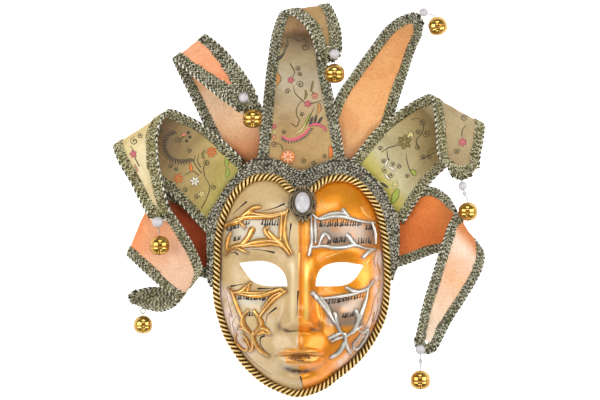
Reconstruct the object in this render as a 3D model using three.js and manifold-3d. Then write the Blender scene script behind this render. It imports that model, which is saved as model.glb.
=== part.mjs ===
// A jester volto mask, lying face up on the flat rim of its papier-mache face: the face is half
// cream and half gold with raised scrollwork, a braid hood frames it with a twisted cord and a
// cameo, and seven stiffened fabric points edged with braid each carry a bell.
// Millimetres. +Z comes out of the face and +Y runs to the crown.

import * as THREE from 'three';
import { mergeVertices } from 'three/addons/utils/BufferGeometryUtils.js';
import Module from 'manifold-3d';

const wasm = await Module();
wasm.setup();

// Places are measured from the middle of the cameo, and this shift centres the whole mask.
const CENTRE_SHIFT = new THREE.Vector3(2.2, -2.9, 0);

// Face shell
const WALL = 2.5;
const DOME_HEIGHT = 50;
const DOME_FLATNESS = 2.6;
const DOME_EDGE = 0.55;
const FACE_CENTRE = new THREE.Vector2(-1.5, -92);
const MIDLINE_LEAN = 0.02;
const FEATURE_FADE = 0.16;
const RIM_INSET = 0.6;
const SPOKES = 48;
const OUTER_RINGS = [1, 0.982, 0.95, 0.905, 0.85, 0.785, 0.715, 0.645, 0.575, 0.505, 0.435, 0.37];
const CORE_RINGS = [0.3, 0.225, 0.15, 0.075];
const INNER_RINGS = [1, 0.93, 0.84, 0.73, 0.6, 0.46, 0.32, 0.18];
const RIM = [
  [0, 24], [-20, 26.5], [-40, 28], [-54, 23.5], [-66, 13], [-74.5, -1.5], [-80, -18], [-82, -38],
  [-82.5, -63], [-82.3, -94], [-79, -115.3], [-73.6, -130.7], [-64.8, -146.1], [-53, -162.3],
  [-34, -178.7], [-19.5, -186.8], [-4, -190.6], [19, -183.5], [34, -172], [45.5, -163], [55, -154],
  [63, -144], [70, -133], [76.5, -119], [80.5, -104], [82.2, -88], [82.5, -63], [80.5, -38],
  [78.5, -20], [74.5, -4], [65, 13], [53, 24], [41, 28], [20, 26.5],
];

// Soft hollows and swellings of the face: place across and up, spread across and up, rise.
// Each one stands on both sides of the middle line unless it lies on it.
const SWELLINGS = [
  { at: [38, -73], spread: [25, 15], rise: -9 },
  { at: [17, -80], spread: [8, 12], rise: -5 },
  { at: [34, -47], spread: [26, 8], rise: 3.5 },
  { at: [45, -111], spread: [22, 17], rise: 5.5 },
  { at: [24, -132], spread: [6, 12], rise: -2.5 },
  { at: [46, -150], spread: [18, 16], rise: -2 },
  { at: [36, -6], spread: [28, 20], rise: 2.5 },
  { at: [0, -150], spread: [27, 18], rise: 8 },
  { at: [0, -138], spread: [3, 7], rise: -1.6 },
  { at: [0, -170.5], spread: [17, 4.5], rise: -4.5 },
  { at: [0, -182], spread: [19, 9], rise: 7 },
  { at: [13, -122], spread: [6.5, 6.5], rise: 7.5 },
  { at: [0, -116.5], spread: [10, 9], rise: 4.5 },
];
const NOSE = {
  top: -48, tip: -119, base: -131, rise: 18, slim: 11, broad: 14, swell: 1.25, flatness: 4,
  underStart: 2,
};
const LIPS = {
  line: -154, half: 24.5, rise: 4.6, upper: 150, upperSpread: 3.2, upperShare: 0.8,
  lower: 160.5, lowerSpread: 4, groove: 4, grooveSpread: 1.6,
};

// Eye openings, outer corner first, then over the top to the inner corner and back below
const LEFT_EYE = [
  [-63.7, -61.3], [-55, -60], [-47, -59.2], [-39, -59], [-30, -61.3], [-24, -64.7], [-19, -69.7],
  [-16, -76], [-14.5, -84.3], [-25, -84.3], [-35, -84], [-42, -82.7], [-49, -79.7], [-55, -73],
  [-60, -66],
];
const RIGHT_EYE = [
  [62, -63.3], [53, -61.8], [45, -60.5], [35, -60.5], [26, -62.5], [20, -66], [16.3, -71],
  [14.3, -78], [13.5, -84.3], [26, -84.3], [38, -84], [46, -82], [52, -78], [58, -70],
];

// Raised scrollwork: middle line of each strand and its half width
const STRAND_RISE = 1.7;
const STRAND_SINK = 1.4;
const STRANDS = [
  { half: 2.6, path: [[-12, -5], [-22, -12], [-37, -11], [-52, -14], [-62, -18], [-76, -22]] },
  { half: 2.2, path: [[-18, -12], [-17.5, -28], [-16, -42], [-11, -53]] },
  { half: 2.6, path: [[-77, -50], [-67, -45], [-57, -41], [-40, -38], [-25, -38], [-16, -45]] },
  { half: 2.0, path: [[-76, -22], [-75.5, -36], [-75, -50]] },
  { half: 2.0, path: [[-57, -13], [-48, -6.5], [-40, -3]] },
  { half: 2.4, path: [[-62, -43], [-55, -35], [-49, -27]] },
  { half: 2.6, path: [[-71, -95], [-62, -89.5], [-52, -92], [-40, -92], [-27, -89.5], [-17, -89]] },
  { half: 2.0, path: [[-60, -90], [-54, -84], [-49, -80.5]] },
  { half: 2.4, path: [[-17, -89], [-27, -101], [-39, -117], [-37, -128]] },
  { half: 2.4, path: [[-69, -95], [-60, -110], [-55, -128], [-47, -143], [-33, -154]] },
  { half: 2.0, path: [[-60, -110], [-51, -108], [-44, -117], [-50, -128]] },
  { half: 2.0, path: [[-53, -130], [-63, -131], [-67, -139], [-60, -145], [-54, -140]] },
  { half: 2.0, path: [[-49, -140], [-42, -131], [-31, -129]] },
  { half: 2.4, path: [[11, -15], [23, -13.5], [38, -11], [48, -15], [60, -18], [74.5, -21]] },
  { half: 2.2, path: [[11, -15], [11.5, -30], [11, -42], [7, -53]] },
  { half: 2.4, path: [[9, -50], [20, -46], [33, -44], [48, -43.5], [60, -47], [73, -45]] },
  { half: 1.9, path: [[41, -6], [45, -10], [51, -17]] },
  { half: 2.2, path: [[45, -33], [51, -38], [58, -46]] },
  { half: 1.9, path: [[60, -57], [66, -52], [73, -46]] },
  { half: 2.6, path: [[13, -89], [16, -98], [23, -110], [33, -120], [38, -128], [46, -143]] },
  { half: 2.2, path: [[20, -97], [33, -94], [46, -89], [54, -88], [66, -87]] },
  { half: 2.4, path: [[66, -87], [63, -103], [56, -120], [48, -133], [41, -146], [31, -157]] },
  { half: 1.9, path: [[27, -136], [33, -131], [40, -132]] },
];

// Twisted cord around the face, and the braid hood outside it
const CORD_RADIUS = 3;
const CORD_STEPS = 50;
const CORD_SIDES = 6;
const CORD_LOW = 3.4;
const CORD_HIGH = 12;
const CORD_CLIMB = { from: -165, to: -85 };
const CORD = [
  [0, 9], [-12, 13], [-22, 22], [-31, 25], [-42, 25], [-52, 22.5], [-65, 12], [-74, -2],
  [-84, -30], [-86, -63], [-86, -96], [-77.2, -130.7], [-68.3, -147.1], [-56, -164.4], [-36, -181.7],
  [-21.5, -188.8], [-4, -193.2], [20, -186.5], [36, -175], [48, -165.5], [58, -156], [66, -146],
  [73, -135], [80, -120], [84, -105], [85.7, -88], [86, -63], [82.5, -30], [75.5, -5],
  [64, 12], [53, 21], [43, 24], [32, 24], [22, 21], [11, 13],
];
const SEAT_GAP = 1;
const BAND_THICK = 4.4;
const BAND_LEVEL = 12.6;
const BAND_STEPS = 36;
const BAND_START = THREE.MathUtils.degToRad(176);
const BAND_END = THREE.MathUtils.degToRad(9);
const BAND_LEAST = 1.5;
const SLOPE_REACH = THREE.MathUtils.degToRad(1);
const BAND_EDGE = [
  [-92, -86], [-96, -75], [-95.5, -60], [-95.5, -20], [-92, -9], [-84, 3], [-77, 15], [-67, 27],
  [-59, 37], [-46, 44], [-32, 44], [-17, 39], [-2, 31.5], [13, 37], [28, 42], [43, 44], [55, 40],
  [68, 29], [81, 15], [90, -3], [96.5, -13], [97.5, -53], [97, -63], [92, -76],
];

// Cameo: a filigree setting with a drop below and an oval cabochon
const CAMEO = { x: 0.5, y: -1.5, lift: 38.8, tilt: THREE.MathUtils.degToRad(-20) };
const SETTING = {
  halfWide: 13.4, halfHigh: 18.4, thick: 3.2, sides: 20,
  scallop: 0.035, drop: 0.22, dropSpread: 0.06,
  // Shares of the outline and of the thickness, from the back edge round to the seat
  profile: [[0.9, 0], [1, 0.35], [0.88, 1], [0.68, 1], [0.64, 0.5]],
};
const CABOCHON = {
  halfWide: 7.6, halfHigh: 11, rise: 5.5, sides: 14,
  profile: [[1, 0], [1, 0.2], [0.86, 0.55], [0.6, 0.82], [0.25, 0.98]],
};

// Fabric points: each rib is the left edge, the right edge and their heights, from the hood out
const CLOTH_THICK = 2;
const BRAID_WIDE = 9.6;
const BRAID_THICK = 4;
const FIT_GAP = 0.3;
const EDGE_GAP = 1.4;
const TURN_PER_STEP = THREE.MathUtils.degToRad(24);
const MOST_STEPS = 5;
// How far inside a span its end directions are read, as a share of the span
const SPAN_END = 0.02;
// Least sine of the angle between an edge and the line across, and least free widths
const LEAST_SLANT = 0.6;
const CLOTH_LEAST = 1.5;
const BRAID_LEAST_GAP = 0.5;
const TIP_STEPS = 4;
const POINTS = {
  centre: [
    [-46, 28.5, 45, 28.5, 7.2], [-41, 72, 38, 72, 9], [-38, 107, 31, 107, 11],
    [-34, 142, 25, 140, 13], [-29, 172, 23, 172, 18], [-19, 191, 27, 198, 31],
    [-2, 182, 35, 184, 41], [8, 169, 39, 170, 43], [14, 152, 40, 153, 41],
  ],
  inner_left: [
    [-73, 34, -27, 34, 2.5], [-91.5, 64.3, -34, 77, 2.5], [-106.6, 95.2, -46.4, 105.6, 4],
    [-119.6, 121.3, -65, 132.5, 8], [-127.4, 137.4, -87, 158.3, 14], [-129.2, 143, -96.2, 167.8, 26],
    [-112, 129, -80, 155, 37], [-95, 115, -65, 138, 38], [-80, 103, -53, 122, 36],
    [-68, 95, -46, 109, 33],
  ],
  inner_right: [
    [23, 34, 78, 30, 2.5], [26, 77, 88.4, 73.6, 2.5], [35, 105.6, 97.5, 103.6, 4], [50.6, 129.6, 105.5, 127.6, 8],
    [69, 155, 112.5, 149.6, 13], [84, 175, 118.4, 163.6, 19], [97, 185, 120.4, 168.6, 25],
    [110, 190, 119, 171, 29],
  ],
  outer_left: [
    [-95, -32, -59, 42, 7.8], [-117, -8, -80, 62, 9.5, 8.5], [-137, 12, -102, 79, 14, 10.5],
    [-162, 34, -116, 86.3, 18, 14], [-188, 56.6, -133.5, 91.8, 26], [-184.2, 41.8, -144, 74, 37],
    [-171, 19, -145, 47, 39], [-161, -1, -140, 19, 38], [-155, -11, -133, -7, 36],
  ],
  outer_right: [
    [50, 42, 102, -22, 7.8], [76, 74, 119, 6, 8.5], [103, 95, 136, 27, 10.5],
    [118, 104, 162, 50, 14], [129.2, 106.7, 181.6, 78, 26], [133, 89, 181.2, 62, 37],
    [135, 67, 178.2, 47, 39], [137.2, 45.6, 177, 35, 38], [147, 33.8, 173.2, 33.6, 36],
  ],
  lower_left: [
    [-88, -79, -88, -10, 2.5], [-112, -72, -112, 1, 2.5], [-144, -63, -131, 11, 4.5],
    [-175.6, -53.4, -146.6, 16, 13], [-168, -61, -136, -2, 21], [-154, -74, -121, -24, 23],
    [-141, -86, -108, -46, 22], [-126.4, -101.2, -101.6, -69.6, 15], [-140, -110, -130, -86, 8],
    [-155.6, -108, -152, -86, 7], [-166.4, -103.6, -165.6, -88.6, 4.5, 14],
  ],
  lower_right: [
    [89, -6, 89, -68, 2.5], [108, 9, 110, -60.8, 2.5], [130, 15, 136, -51, 6],
    [146.4, 5.6, 164, -50, 11], [153.4, -10.4, 180.4, -48, 19], [147, -24, 182, -62, 28],
    [140, -44, 176, -77, 31], [130.8, -73.2, 163, -99, 30], [122.8, -98.2, 149, -121, 28],
    [114.8, -133, 136, -147, 26],
  ],
};
const CLOTH_COLOURS = {
  centre: 0xbfa878,
  inner_left: 0xe8b488,
  inner_right: 0xe0a468,
  outer_left: 0xb3a46c,
  outer_right: 0xb8aa7c,
  lower_left: 0xe0945a,
  lower_right: 0xd89a6a,
};

// What hangs from each point: bell, pearl and small bead places with their heights
const BELL_WALL = 0.8;
const BELL_SIDES = 8;
const BELL_SLOT = 1.8;
const SLOT_LONG = 1.7;
const SLOT_DROP = 0.95;
const WIRE_RADIUS = 0.6;
const WIRE_ALONE = 5;
const RING = { radius: 2.6, lift: 3.2 };
const HANGINGS = {
  centre: { bell: [32.6, 128.6, 45, 10], pearl: [32.5, 148, 48.6, 5] },
  inner_left: { bell: [-49.5, 83.6, 43.5, 10], pearl: [-58.5, 104.5, 41.5, 5] },
  inner_right: { bell: [136, 176.6, 30, 9.6], pearl: [122, 190, 36.8, 4.5], lean: 20 },
  outer_left: { bell: [-142.5, -43.4, 37.5, 10], pearl: [-144.5, -20, 43.5, 5.5] },
  outer_right: { bell: [166.2, -9.5, 35, 9.6], pearl: [161, 16, 36, 4.5], bead: [163, 8.5, 36, 2.4] },
  lower_left: { bell: [-160.1, -123.5, 10, 9.4] },
  lower_right: { bell: [119, -179, 16, 10], pearl: [118.5, -148, 33, 5], bead: [119, -160, 24, 2.4] },
};

const BELL_OUTSIDE = [
  [0, -1], [0.62, -0.86], [0.96, -0.36], [0.98, -0.07], [1.05, 0], [0.98, 0.07], [0.96, 0.36],
  [0.62, 0.86], [0, 1],
];
const BELL_INSIDE = [[0, -1], [0.72, -0.7], [1, 0], [0.72, 0.7], [0, 1]];

const mask = new THREE.Group();
mask.position.copy(CENTRE_SHIFT);

const MATERIALS = {
  face: new THREE.MeshStandardMaterial({ color: 0xd9b888, roughness: 0.4, metalness: 0.2 }),
  cord: new THREE.MeshStandardMaterial({ color: 0xc99a45, roughness: 0.45, metalness: 0.3 }),
  braid: new THREE.MeshStandardMaterial({ color: 0x7d7a66, roughness: 0.6, metalness: 0.3 }),
  bronze: new THREE.MeshStandardMaterial({ color: 0x4a4236, roughness: 0.5, metalness: 0.8 }),
  pearl: new THREE.MeshStandardMaterial({ color: 0xebe7e2, roughness: 0.2, metalness: 0 }),
  brass: new THREE.MeshStandardMaterial({ color: 0xc0922e, roughness: 0.18, metalness: 1 }),
  wire: new THREE.MeshStandardMaterial({ color: 0xb8b4aa, roughness: 0.25, metalness: 1 }),
};

function addMesh(name, geometry, material) {
  const mesh = new THREE.Mesh(geometry, material);
  mesh.name = name;
  mask.add(mesh);
  return mesh;
}

// Closed geometry from a list of corners and triangles, turned to face outwards
function closedGeometry(corners, triangles) {
  let volume = 0;
  for (let i = 0; i < triangles.length; i += 3) {
    const [a, b, c] = [corners[triangles[i]], corners[triangles[i + 1]], corners[triangles[i + 2]]];
    volume += a.dot(new THREE.Vector3().crossVectors(b, c));
  }
  if (volume < 0) {
    triangles.reverse();
  }
  const geometry = new THREE.BufferGeometry();
  geometry.setFromPoints(corners);
  geometry.setIndex(triangles);
  return geometry;
}

// Skin over a row of outlines that have the same number of corners
function loft(sections, looped = false) {
  const sides = sections[0].length;
  const corners = sections.flat();
  const triangles = [];
  const spans = looped ? sections.length : sections.length - 1;
  for (let i = 0; i < spans; i++) {
    const here = i * sides;
    const next = ((i + 1) % sections.length) * sides;
    for (let j = 0; j < sides; j++) {
      const k = (j + 1) % sides;
      triangles.push(here + j, here + k, next + j, here + k, next + k, next + j);
    }
  }
  if (!looped) {
    const last = (sections.length - 1) * sides;
    for (let j = 1; j < sides - 1; j++) {
      triangles.push(0, j + 1, j, last, last + j, last + j + 1);
    }
  }
  return closedGeometry(corners, triangles);
}

function solidOf(geometry) {
  const bare = geometry.clone();
  bare.deleteAttribute('normal');
  bare.deleteAttribute('uv');
  const merged = mergeVertices(bare, 1e-4);
  const vertProperties = new Float32Array(merged.attributes.position.array);
  const triVerts = new Uint32Array(merged.index.array);
  return new wasm.Manifold(new wasm.Mesh({ numProp: 3, vertProperties, triVerts }));
}

function geometryOf(solid) {
  const { vertProperties, triVerts } = solid.getMesh();
  const geometry = new THREE.BufferGeometry();
  geometry.setAttribute('position', new THREE.BufferAttribute(new Float32Array(vertProperties), 3));
  geometry.setIndex(new THREE.BufferAttribute(new Uint32Array(triVerts), 1));
  return geometry;
}

function smoothCurve(points, closed = false) {
  return new THREE.CatmullRomCurve3(points, closed, 'centripetal');
}

function flatCurve(points, closed = false) {
  return smoothCurve(points.map(([x, y]) => new THREE.Vector3(x, y, 0)), closed);
}

// Distance of an outline from the face's centre, by angle
function radialOutline(points, closed) {
  const samples = flatCurve(points, closed).getPoints(points.length * 10).map((p) => {
    const dx = p.x - FACE_CENTRE.x;
    const dy = p.y - FACE_CENTRE.y;
    return { angle: Math.atan2(dy, dx), radius: Math.hypot(dx, dy) };
  });
  samples.sort((a, b) => a.angle - b.angle);
  return (angle) => {
    const after = samples.findIndex((s) => s.angle >= angle);
    if (after <= 0) {
      return after === 0 ? samples[0].radius : samples.at(-1).radius;
    }
    const low = samples[after - 1];
    const high = samples[after];
    const share = (angle - low.angle) / Math.max(high.angle - low.angle, 1e-9);
    return low.radius + share * (high.radius - low.radius);
  };
}

const faceOutline = radialOutline(RIM, true);
const rimRadius = (angle) => faceOutline(angle) - RIM_INSET;
const cordRadius = radialOutline(CORD, true);
const bandRadius = radialOutline(BAND_EDGE, false);

function atAngle(angle, radius) {
  const x = FACE_CENTRE.x + radius * Math.cos(angle);
  const y = FACE_CENTRE.y + radius * Math.sin(angle);
  return new THREE.Vector3(x, y, 0);
}

function hump(offset, spread) {
  return Math.exp(-((offset / spread) ** 2));
}

function noseRise(across, up) {
  const along = THREE.MathUtils.clamp((NOSE.top - up) / (NOSE.top - NOSE.tip), 0, 1);
  const width = THREE.MathUtils.lerp(NOSE.slim, NOSE.broad, along);
  const under = 1 - THREE.MathUtils.smoothstep(NOSE.tip - up, NOSE.underStart, NOSE.tip - NOSE.base);
  const side = Math.exp(-((across / width) ** NOSE.flatness));
  return NOSE.rise * along ** NOSE.swell * under * side;
}

function lipRise(across, up) {
  const inset = 1 - (across / LIPS.half) ** 2;
  if (inset <= 0) {
    return 0;
  }
  const upper = hump(up + LIPS.upper, LIPS.upperSpread) * LIPS.upperShare;
  const lower = hump(up + LIPS.lower, LIPS.lowerSpread);
  const line = hump(up - LIPS.line, LIPS.grooveSpread) * LIPS.groove;
  return Math.sqrt(inset) * (LIPS.rise * (upper + lower) - line);
}

// Height of the face's outside above its rim
function faceHeight(x, y) {
  const dx = x - FACE_CENTRE.x;
  const dy = y - FACE_CENTRE.y;
  const share = Math.hypot(dx, dy) / rimRadius(Math.atan2(dy, dx));
  if (share >= 1) {
    return 0;
  }
  const across = x - MIDLINE_LEAN * y;
  let rise = noseRise(across, y) + lipRise(across, y);
  for (const { at: [side, up], spread: [wide, tall], rise: amount } of SWELLINGS) {
    const near = hump(across - side, wide);
    const far = side === 0 ? 0 : hump(across + side, wide);
    rise += amount * (near + far) * hump(y - up, tall);
  }
  const dome = DOME_HEIGHT * (1 - share ** DOME_FLATNESS) ** DOME_EDGE;
  return dome + rise * Math.min(1, (1 - share) / FEATURE_FADE);
}

function onFace(x, y) {
  return new THREE.Vector3(x, y, faceHeight(x, y));
}

function faceNormal(x, y, reach = 1.5) {
  const slopeX = (faceHeight(x + reach, y) - faceHeight(x - reach, y)) / (2 * reach);
  const slopeY = (faceHeight(x, y + reach) - faceHeight(x, y - reach)) / (2 * reach);
  return new THREE.Vector3(-slopeX, -slopeY, 1).normalize();
}

// Height at which a ball would rest on the face at this place
function restHeight(x, y, radius) {
  let height = 0;
  for (let ring = 0; ring <= 8; ring++) {
    const reach = (radius * ring) / 8;
    const rise = Math.sqrt(radius * radius - reach * reach);
    for (let turn = 0; turn < 24; turn++) {
      const angle = (turn * Math.PI) / 12;
      const under = faceHeight(x + reach * Math.cos(angle), y + reach * Math.sin(angle));
      if (under > 0) {
        height = Math.max(height, under + rise);
      }
    }
  }
  return height;
}

// Triangles between two rings of corners, where the second has as many corners or half as many
function bridge(triangles, first, second, facesUp) {
  const ratio = first.count / second.count;
  const add = (a, b, c) => triangles.push(...(facesUp ? [a, b, c] : [a, c, b]));
  for (let i = 0; i < first.count; i++) {
    const here = first.start + i;
    const next = first.start + ((i + 1) % first.count);
    const below = second.start + (Math.floor(i / ratio) % second.count);
    const belowNext = second.start + (Math.floor((i + 1) / ratio) % second.count);
    add(here, next, below);
    if (below !== belowNext) {
      add(next, belowNext, below);
    }
  }
}

function outsidePlace(angle, share) {
  const flat = atAngle(angle, share * rimRadius(angle));
  return share === 1 ? flat : onFace(flat.x, flat.y);
}

// The inside follows the outside one wall thickness deeper
function insidePlace(angle, share) {
  const inner = rimRadius(angle) - WALL;
  const flat = atAngle(angle, share * inner);
  if (share === 1) {
    return flat;
  }
  return onFace(flat.x, flat.y).addScaledVector(faceNormal(flat.x, flat.y, 3), -WALL);
}

function shellBody() {
  const corners = [];
  const triangles = [];
  const addRing = (count, share, place) => {
    const start = corners.length;
    for (let i = 0; i < count; i++) {
      corners.push(place(((i + 0.5) / count) * 2 * Math.PI - Math.PI, share));
    }
    return { start, count };
  };
  const outer = [
    ...OUTER_RINGS.map((share) => addRing(SPOKES, share, outsidePlace)),
    ...CORE_RINGS.map((share) => addRing(SPOKES / 2, share, outsidePlace)),
  ];
  const inner = INNER_RINGS.map((share) => addRing(SPOKES / 2, share, insidePlace));
  for (const [rings, place, facesUp] of [[outer, outsidePlace, true], [inner, insidePlace, false]]) {
    for (let i = 0; i + 1 < rings.length; i++) {
      bridge(triangles, rings[i], rings[i + 1], facesUp);
    }
    corners.push(place(0, 0));
    const apex = { start: corners.length - 1, count: 1 };
    bridge(triangles, rings.at(-1), apex, facesUp);
  }
  bridge(triangles, outer[0], inner[0], false);
  return solidOf(closedGeometry(corners, triangles));
}

// A raised strand, pointed at both ends, half sunk in the face
function strandBody({ half, path }) {
  const curve = flatCurve(path);
  const steps = Math.max(path.length - 1, 3);
  const sections = [];
  for (let i = 0; i <= steps; i++) {
    const t = i / steps;
    const middle = curve.getPoint(t);
    const along = curve.getTangent(t);
    const normal = faceNormal(middle.x, middle.y);
    const side = new THREE.Vector3().crossVectors(normal, along).normalize();
    const swell = 0.3 + 0.7 * Math.sqrt(Math.sin(Math.PI * t));
    const base = onFace(middle.x, middle.y);
    const corner = (across, rise) => {
      const place = base.clone().addScaledVector(side, across * half * swell);
      place.addScaledVector(normal, rise);
      place.z = Math.max(place.z, WALL);
      return place;
    };
    const top = STRAND_RISE * (0.5 + 0.5 * swell);
    sections.push([corner(1, -STRAND_SINK), corner(0, top), corner(-1, -STRAND_SINK)]);
  }
  return solidOf(loft(sections));
}

function eyeBody(outline) {
  const shape = new THREE.Shape(outline.map(([x, y]) => new THREE.Vector2(x, y)));
  const prism = new THREE.ExtrudeGeometry(shape, { depth: 2 * DOME_HEIGHT, bevelEnabled: false });
  return solidOf(prism);
}

function faceShell() {
  let body = shellBody();
  for (const strand of STRANDS) {
    body = body.add(strandBody(strand));
  }
  for (const outline of [LEFT_EYE, RIGHT_EYE]) {
    body = body.subtract(eyeBody(outline));
  }
  return geometryOf(body);
}

// Round bar through a row of places
function tube(places, radius, sides, looped = false) {
  const sections = places.map((place, i) => {
    const before = places[looped ? (i + places.length - 1) % places.length : Math.max(i - 1, 0)];
    const after = places[looped ? (i + 1) % places.length : Math.min(i + 1, places.length - 1)];
    const along = after.clone().sub(before).normalize();
    const side = new THREE.Vector3(along.y, -along.x, 0).normalize();
    const up = new THREE.Vector3().crossVectors(side, along);
    const outline = [];
    for (let k = 0; k < sides; k++) {
      const angle = ((k + 0.5) / sides) * 2 * Math.PI;
      outline.push(place.clone()
        .addScaledVector(side, radius * Math.cos(angle))
        .addScaledVector(up, radius * Math.sin(angle)));
    }
    return outline;
  });
  return loft(sections, looped);
}

// The cord rests on the forehead, comes down the temples and runs beside the rim at the chin
function rimCord() {
  const places = [];
  for (let i = 0; i < CORD_STEPS; i++) {
    const angle = (i / CORD_STEPS) * 2 * Math.PI - Math.PI;
    const place = atAngle(angle, cordRadius(angle));
    const climb = THREE.MathUtils.smoothstep(place.y, CORD_CLIMB.from, CORD_CLIMB.to);
    const beside = THREE.MathUtils.lerp(CORD_LOW, CORD_HIGH, climb);
    place.z = Math.max(beside, restHeight(place.x, place.y, CORD_RADIUS + SEAT_GAP));
    places.push(place);
  }
  return tube(places, CORD_RADIUS, CORD_SIDES, true);
}

// The hood band lies on the forehead outside the cord and over the feet of the points
function hoodBand() {
  const sections = [];
  for (let i = 0; i <= BAND_STEPS; i++) {
    const angle = THREE.MathUtils.lerp(BAND_START, BAND_END, i / BAND_STEPS);
    const slope = (cordRadius(angle + SLOPE_REACH) - cordRadius(angle - SLOPE_REACH)) / (2 * SLOPE_REACH);
    const slant = Math.hypot(1, slope / cordRadius(angle));
    const inner = cordRadius(angle) + (CORD_RADIUS + 2 * FIT_GAP) * slant;
    const outer = Math.max(bandRadius(angle), inner + BAND_LEAST);
    const mids = [0, 0.5, 1].map((share) => {
      const place = atAngle(angle, THREE.MathUtils.lerp(inner, outer, share));
      place.z = Math.max(BAND_LEVEL, restHeight(place.x, place.y, BAND_THICK / 2 + SEAT_GAP));
      return place;
    });
    const radial = new THREE.Vector3(Math.cos(angle), Math.sin(angle), 0);
    const normals = mids.map((mid, k) => {
      const chord = mids[Math.min(k + 1, 2)].clone().sub(mids[Math.max(k - 1, 0)]);
      const out = Math.hypot(chord.x, chord.y);
      return radial.clone().multiplyScalar(-chord.z).setZ(out).normalize();
    });
    const over = mids.map((mid, k) => mid.clone().addScaledVector(normals[k], BAND_THICK / 2));
    const below = mids.map((mid, k) => mid.clone().addScaledVector(normals[k], -BAND_THICK / 2));
    sections.push([...over, ...below.reverse()]);
  }
  return loft(sections);
}

// Oval stack of rings: each entry is a share of the outline and a height
function ovalStack(rings, sides, outline) {
  const sections = rings.map(([share, height]) => {
    const ring = [];
    for (let i = 0; i < sides; i++) {
      const angle = (i / sides) * 2 * Math.PI;
      const [x, y] = outline(angle);
      ring.push(new THREE.Vector3(x * share, y * share, height));
    }
    return ring;
  });
  return loft(sections);
}

function cameoSetting() {
  const { halfWide, halfHigh, thick, sides, profile } = SETTING;
  const outline = (angle) => {
    const scallop = 1 + SETTING.scallop * Math.cos((angle * sides) / 2);
    const drop = 1 + SETTING.drop * hump(Math.sin(angle) + 1, SETTING.dropSpread);
    return [halfWide * scallop * Math.cos(angle), halfHigh * scallop * drop * Math.sin(angle)];
  };
  return ovalStack(profile.map(([share, level]) => [share, level * thick]), sides, outline);
}

function cabochonStone() {
  const { halfWide, halfHigh, rise, sides, profile } = CABOCHON;
  const outline = (angle) => [halfWide * Math.cos(angle), halfHigh * Math.sin(angle)];
  return ovalStack(profile.map(([share, level]) => [share, level * rise]), sides, outline);
}

// Places along a fabric point, closer together where either edge turns
function stationPlaces(left, right, spans) {
  const places = [0];
  for (let span = 0; span < spans; span++) {
    const turns = [left, right].map((edge) => {
      const start = edge.getTangent((span + SPAN_END) / spans);
      const middle = edge.getTangent((span + 0.5) / spans);
      const end = edge.getTangent((span + 1 - SPAN_END) / spans);
      return start.angleTo(middle) + middle.angleTo(end);
    });
    const steps = THREE.MathUtils.clamp(Math.ceil(Math.max(...turns) / TURN_PER_STEP), 1, MOST_STEPS);
    for (let i = 1; i <= steps; i++) {
      places.push((span + i / steps) / spans);
    }
  }
  return places;
}

// Stations along a fabric point: edges, direction across, normal and braid width
function pointStations(ribs) {
  const left = smoothCurve(ribs.map(([x, y, , , z]) => new THREE.Vector3(x, y, z)));
  const right = smoothCurve(ribs.map(([, , x, y, z, other]) => new THREE.Vector3(x, y, other ?? z)));
  const stations = [];
  for (const t of stationPlaces(left, right, ribs.length - 1)) {
    const edges = [left.getPoint(t), right.getPoint(t)];
    const runs = [left.getTangent(t), right.getTangent(t)];
    const width = edges[0].distanceTo(edges[1]);
    const across = edges[1].clone().sub(edges[0]).divideScalar(width);
    const along = runs[0].clone().add(runs[1]).normalize();
    const normal = new THREE.Vector3().crossVectors(across, along).normalize();
    const slants = runs.map((run) => {
      const square = new THREE.Vector3().crossVectors(across, run).length();
      return 1 / Math.max(square, LEAST_SLANT);
    });
    const insets = slants.map((slant) => Math.min(BRAID_WIDE * slant, width / 2 - BRAID_LEAST_GAP));
    const gaps = slants.map((slant) => EDGE_GAP * slant);
    stations.push({ edges, across, normal, width, insets, gaps });
  }
  return stations;
}

function clothBody(stations) {
  const sections = [];
  for (const { edges: [left, right], across, normal, width, insets, gaps } of stations) {
    const free = width - insets[0] - insets[1] - gaps[0] - gaps[1];
    if (free < CLOTH_LEAST) {
      break;
    }
    const near = left.clone().addScaledVector(across, insets[0] + gaps[0]);
    const far = right.clone().addScaledVector(across, -insets[1] - gaps[1]);
    const corner = (place, side) => place.clone().addScaledVector(normal, (side * CLOTH_THICK) / 2);
    sections.push([corner(near, 1), corner(far, 1), corner(far, -1), corner(near, -1)]);
  }
  return loft(sections);
}

// The braid runs out along one edge, round the tip and back along the other
function braidBody(stations) {
  const sections = [];
  const addSection = (outer, inner, normal) => {
    const corner = (place, side) => place.clone().addScaledVector(normal, (side * BRAID_THICK) / 2);
    sections.push([corner(outer, 1), corner(inner, 1), corner(inner, -1), corner(outer, -1)]);
  };
  for (const { edges, across, normal, insets } of stations) {
    addSection(edges[0], edges[0].clone().addScaledVector(across, insets[0]), normal);
  }
  const tip = stations.at(-1);
  const middle = tip.edges[0].clone().add(tip.edges[1]).divideScalar(2);
  const ahead = new THREE.Vector3().crossVectors(tip.normal, tip.across);
  for (let i = 1; i < TIP_STEPS; i++) {
    const angle = (i / TIP_STEPS) * Math.PI;
    const spoke = tip.across.clone().multiplyScalar(-Math.cos(angle));
    spoke.addScaledVector(ahead, Math.sin(angle));
    const outer = middle.clone().addScaledVector(spoke, tip.width / 2);
    const inner = middle.clone().addScaledVector(spoke, tip.width / 2 - tip.insets[0]);
    addSection(outer, inner, tip.normal);
  }
  for (const { edges, across, normal, insets } of [...stations].reverse()) {
    addSection(edges[1], edges[1].clone().addScaledVector(across, -insets[1]), normal);
  }
  return loft(sections);
}

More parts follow.
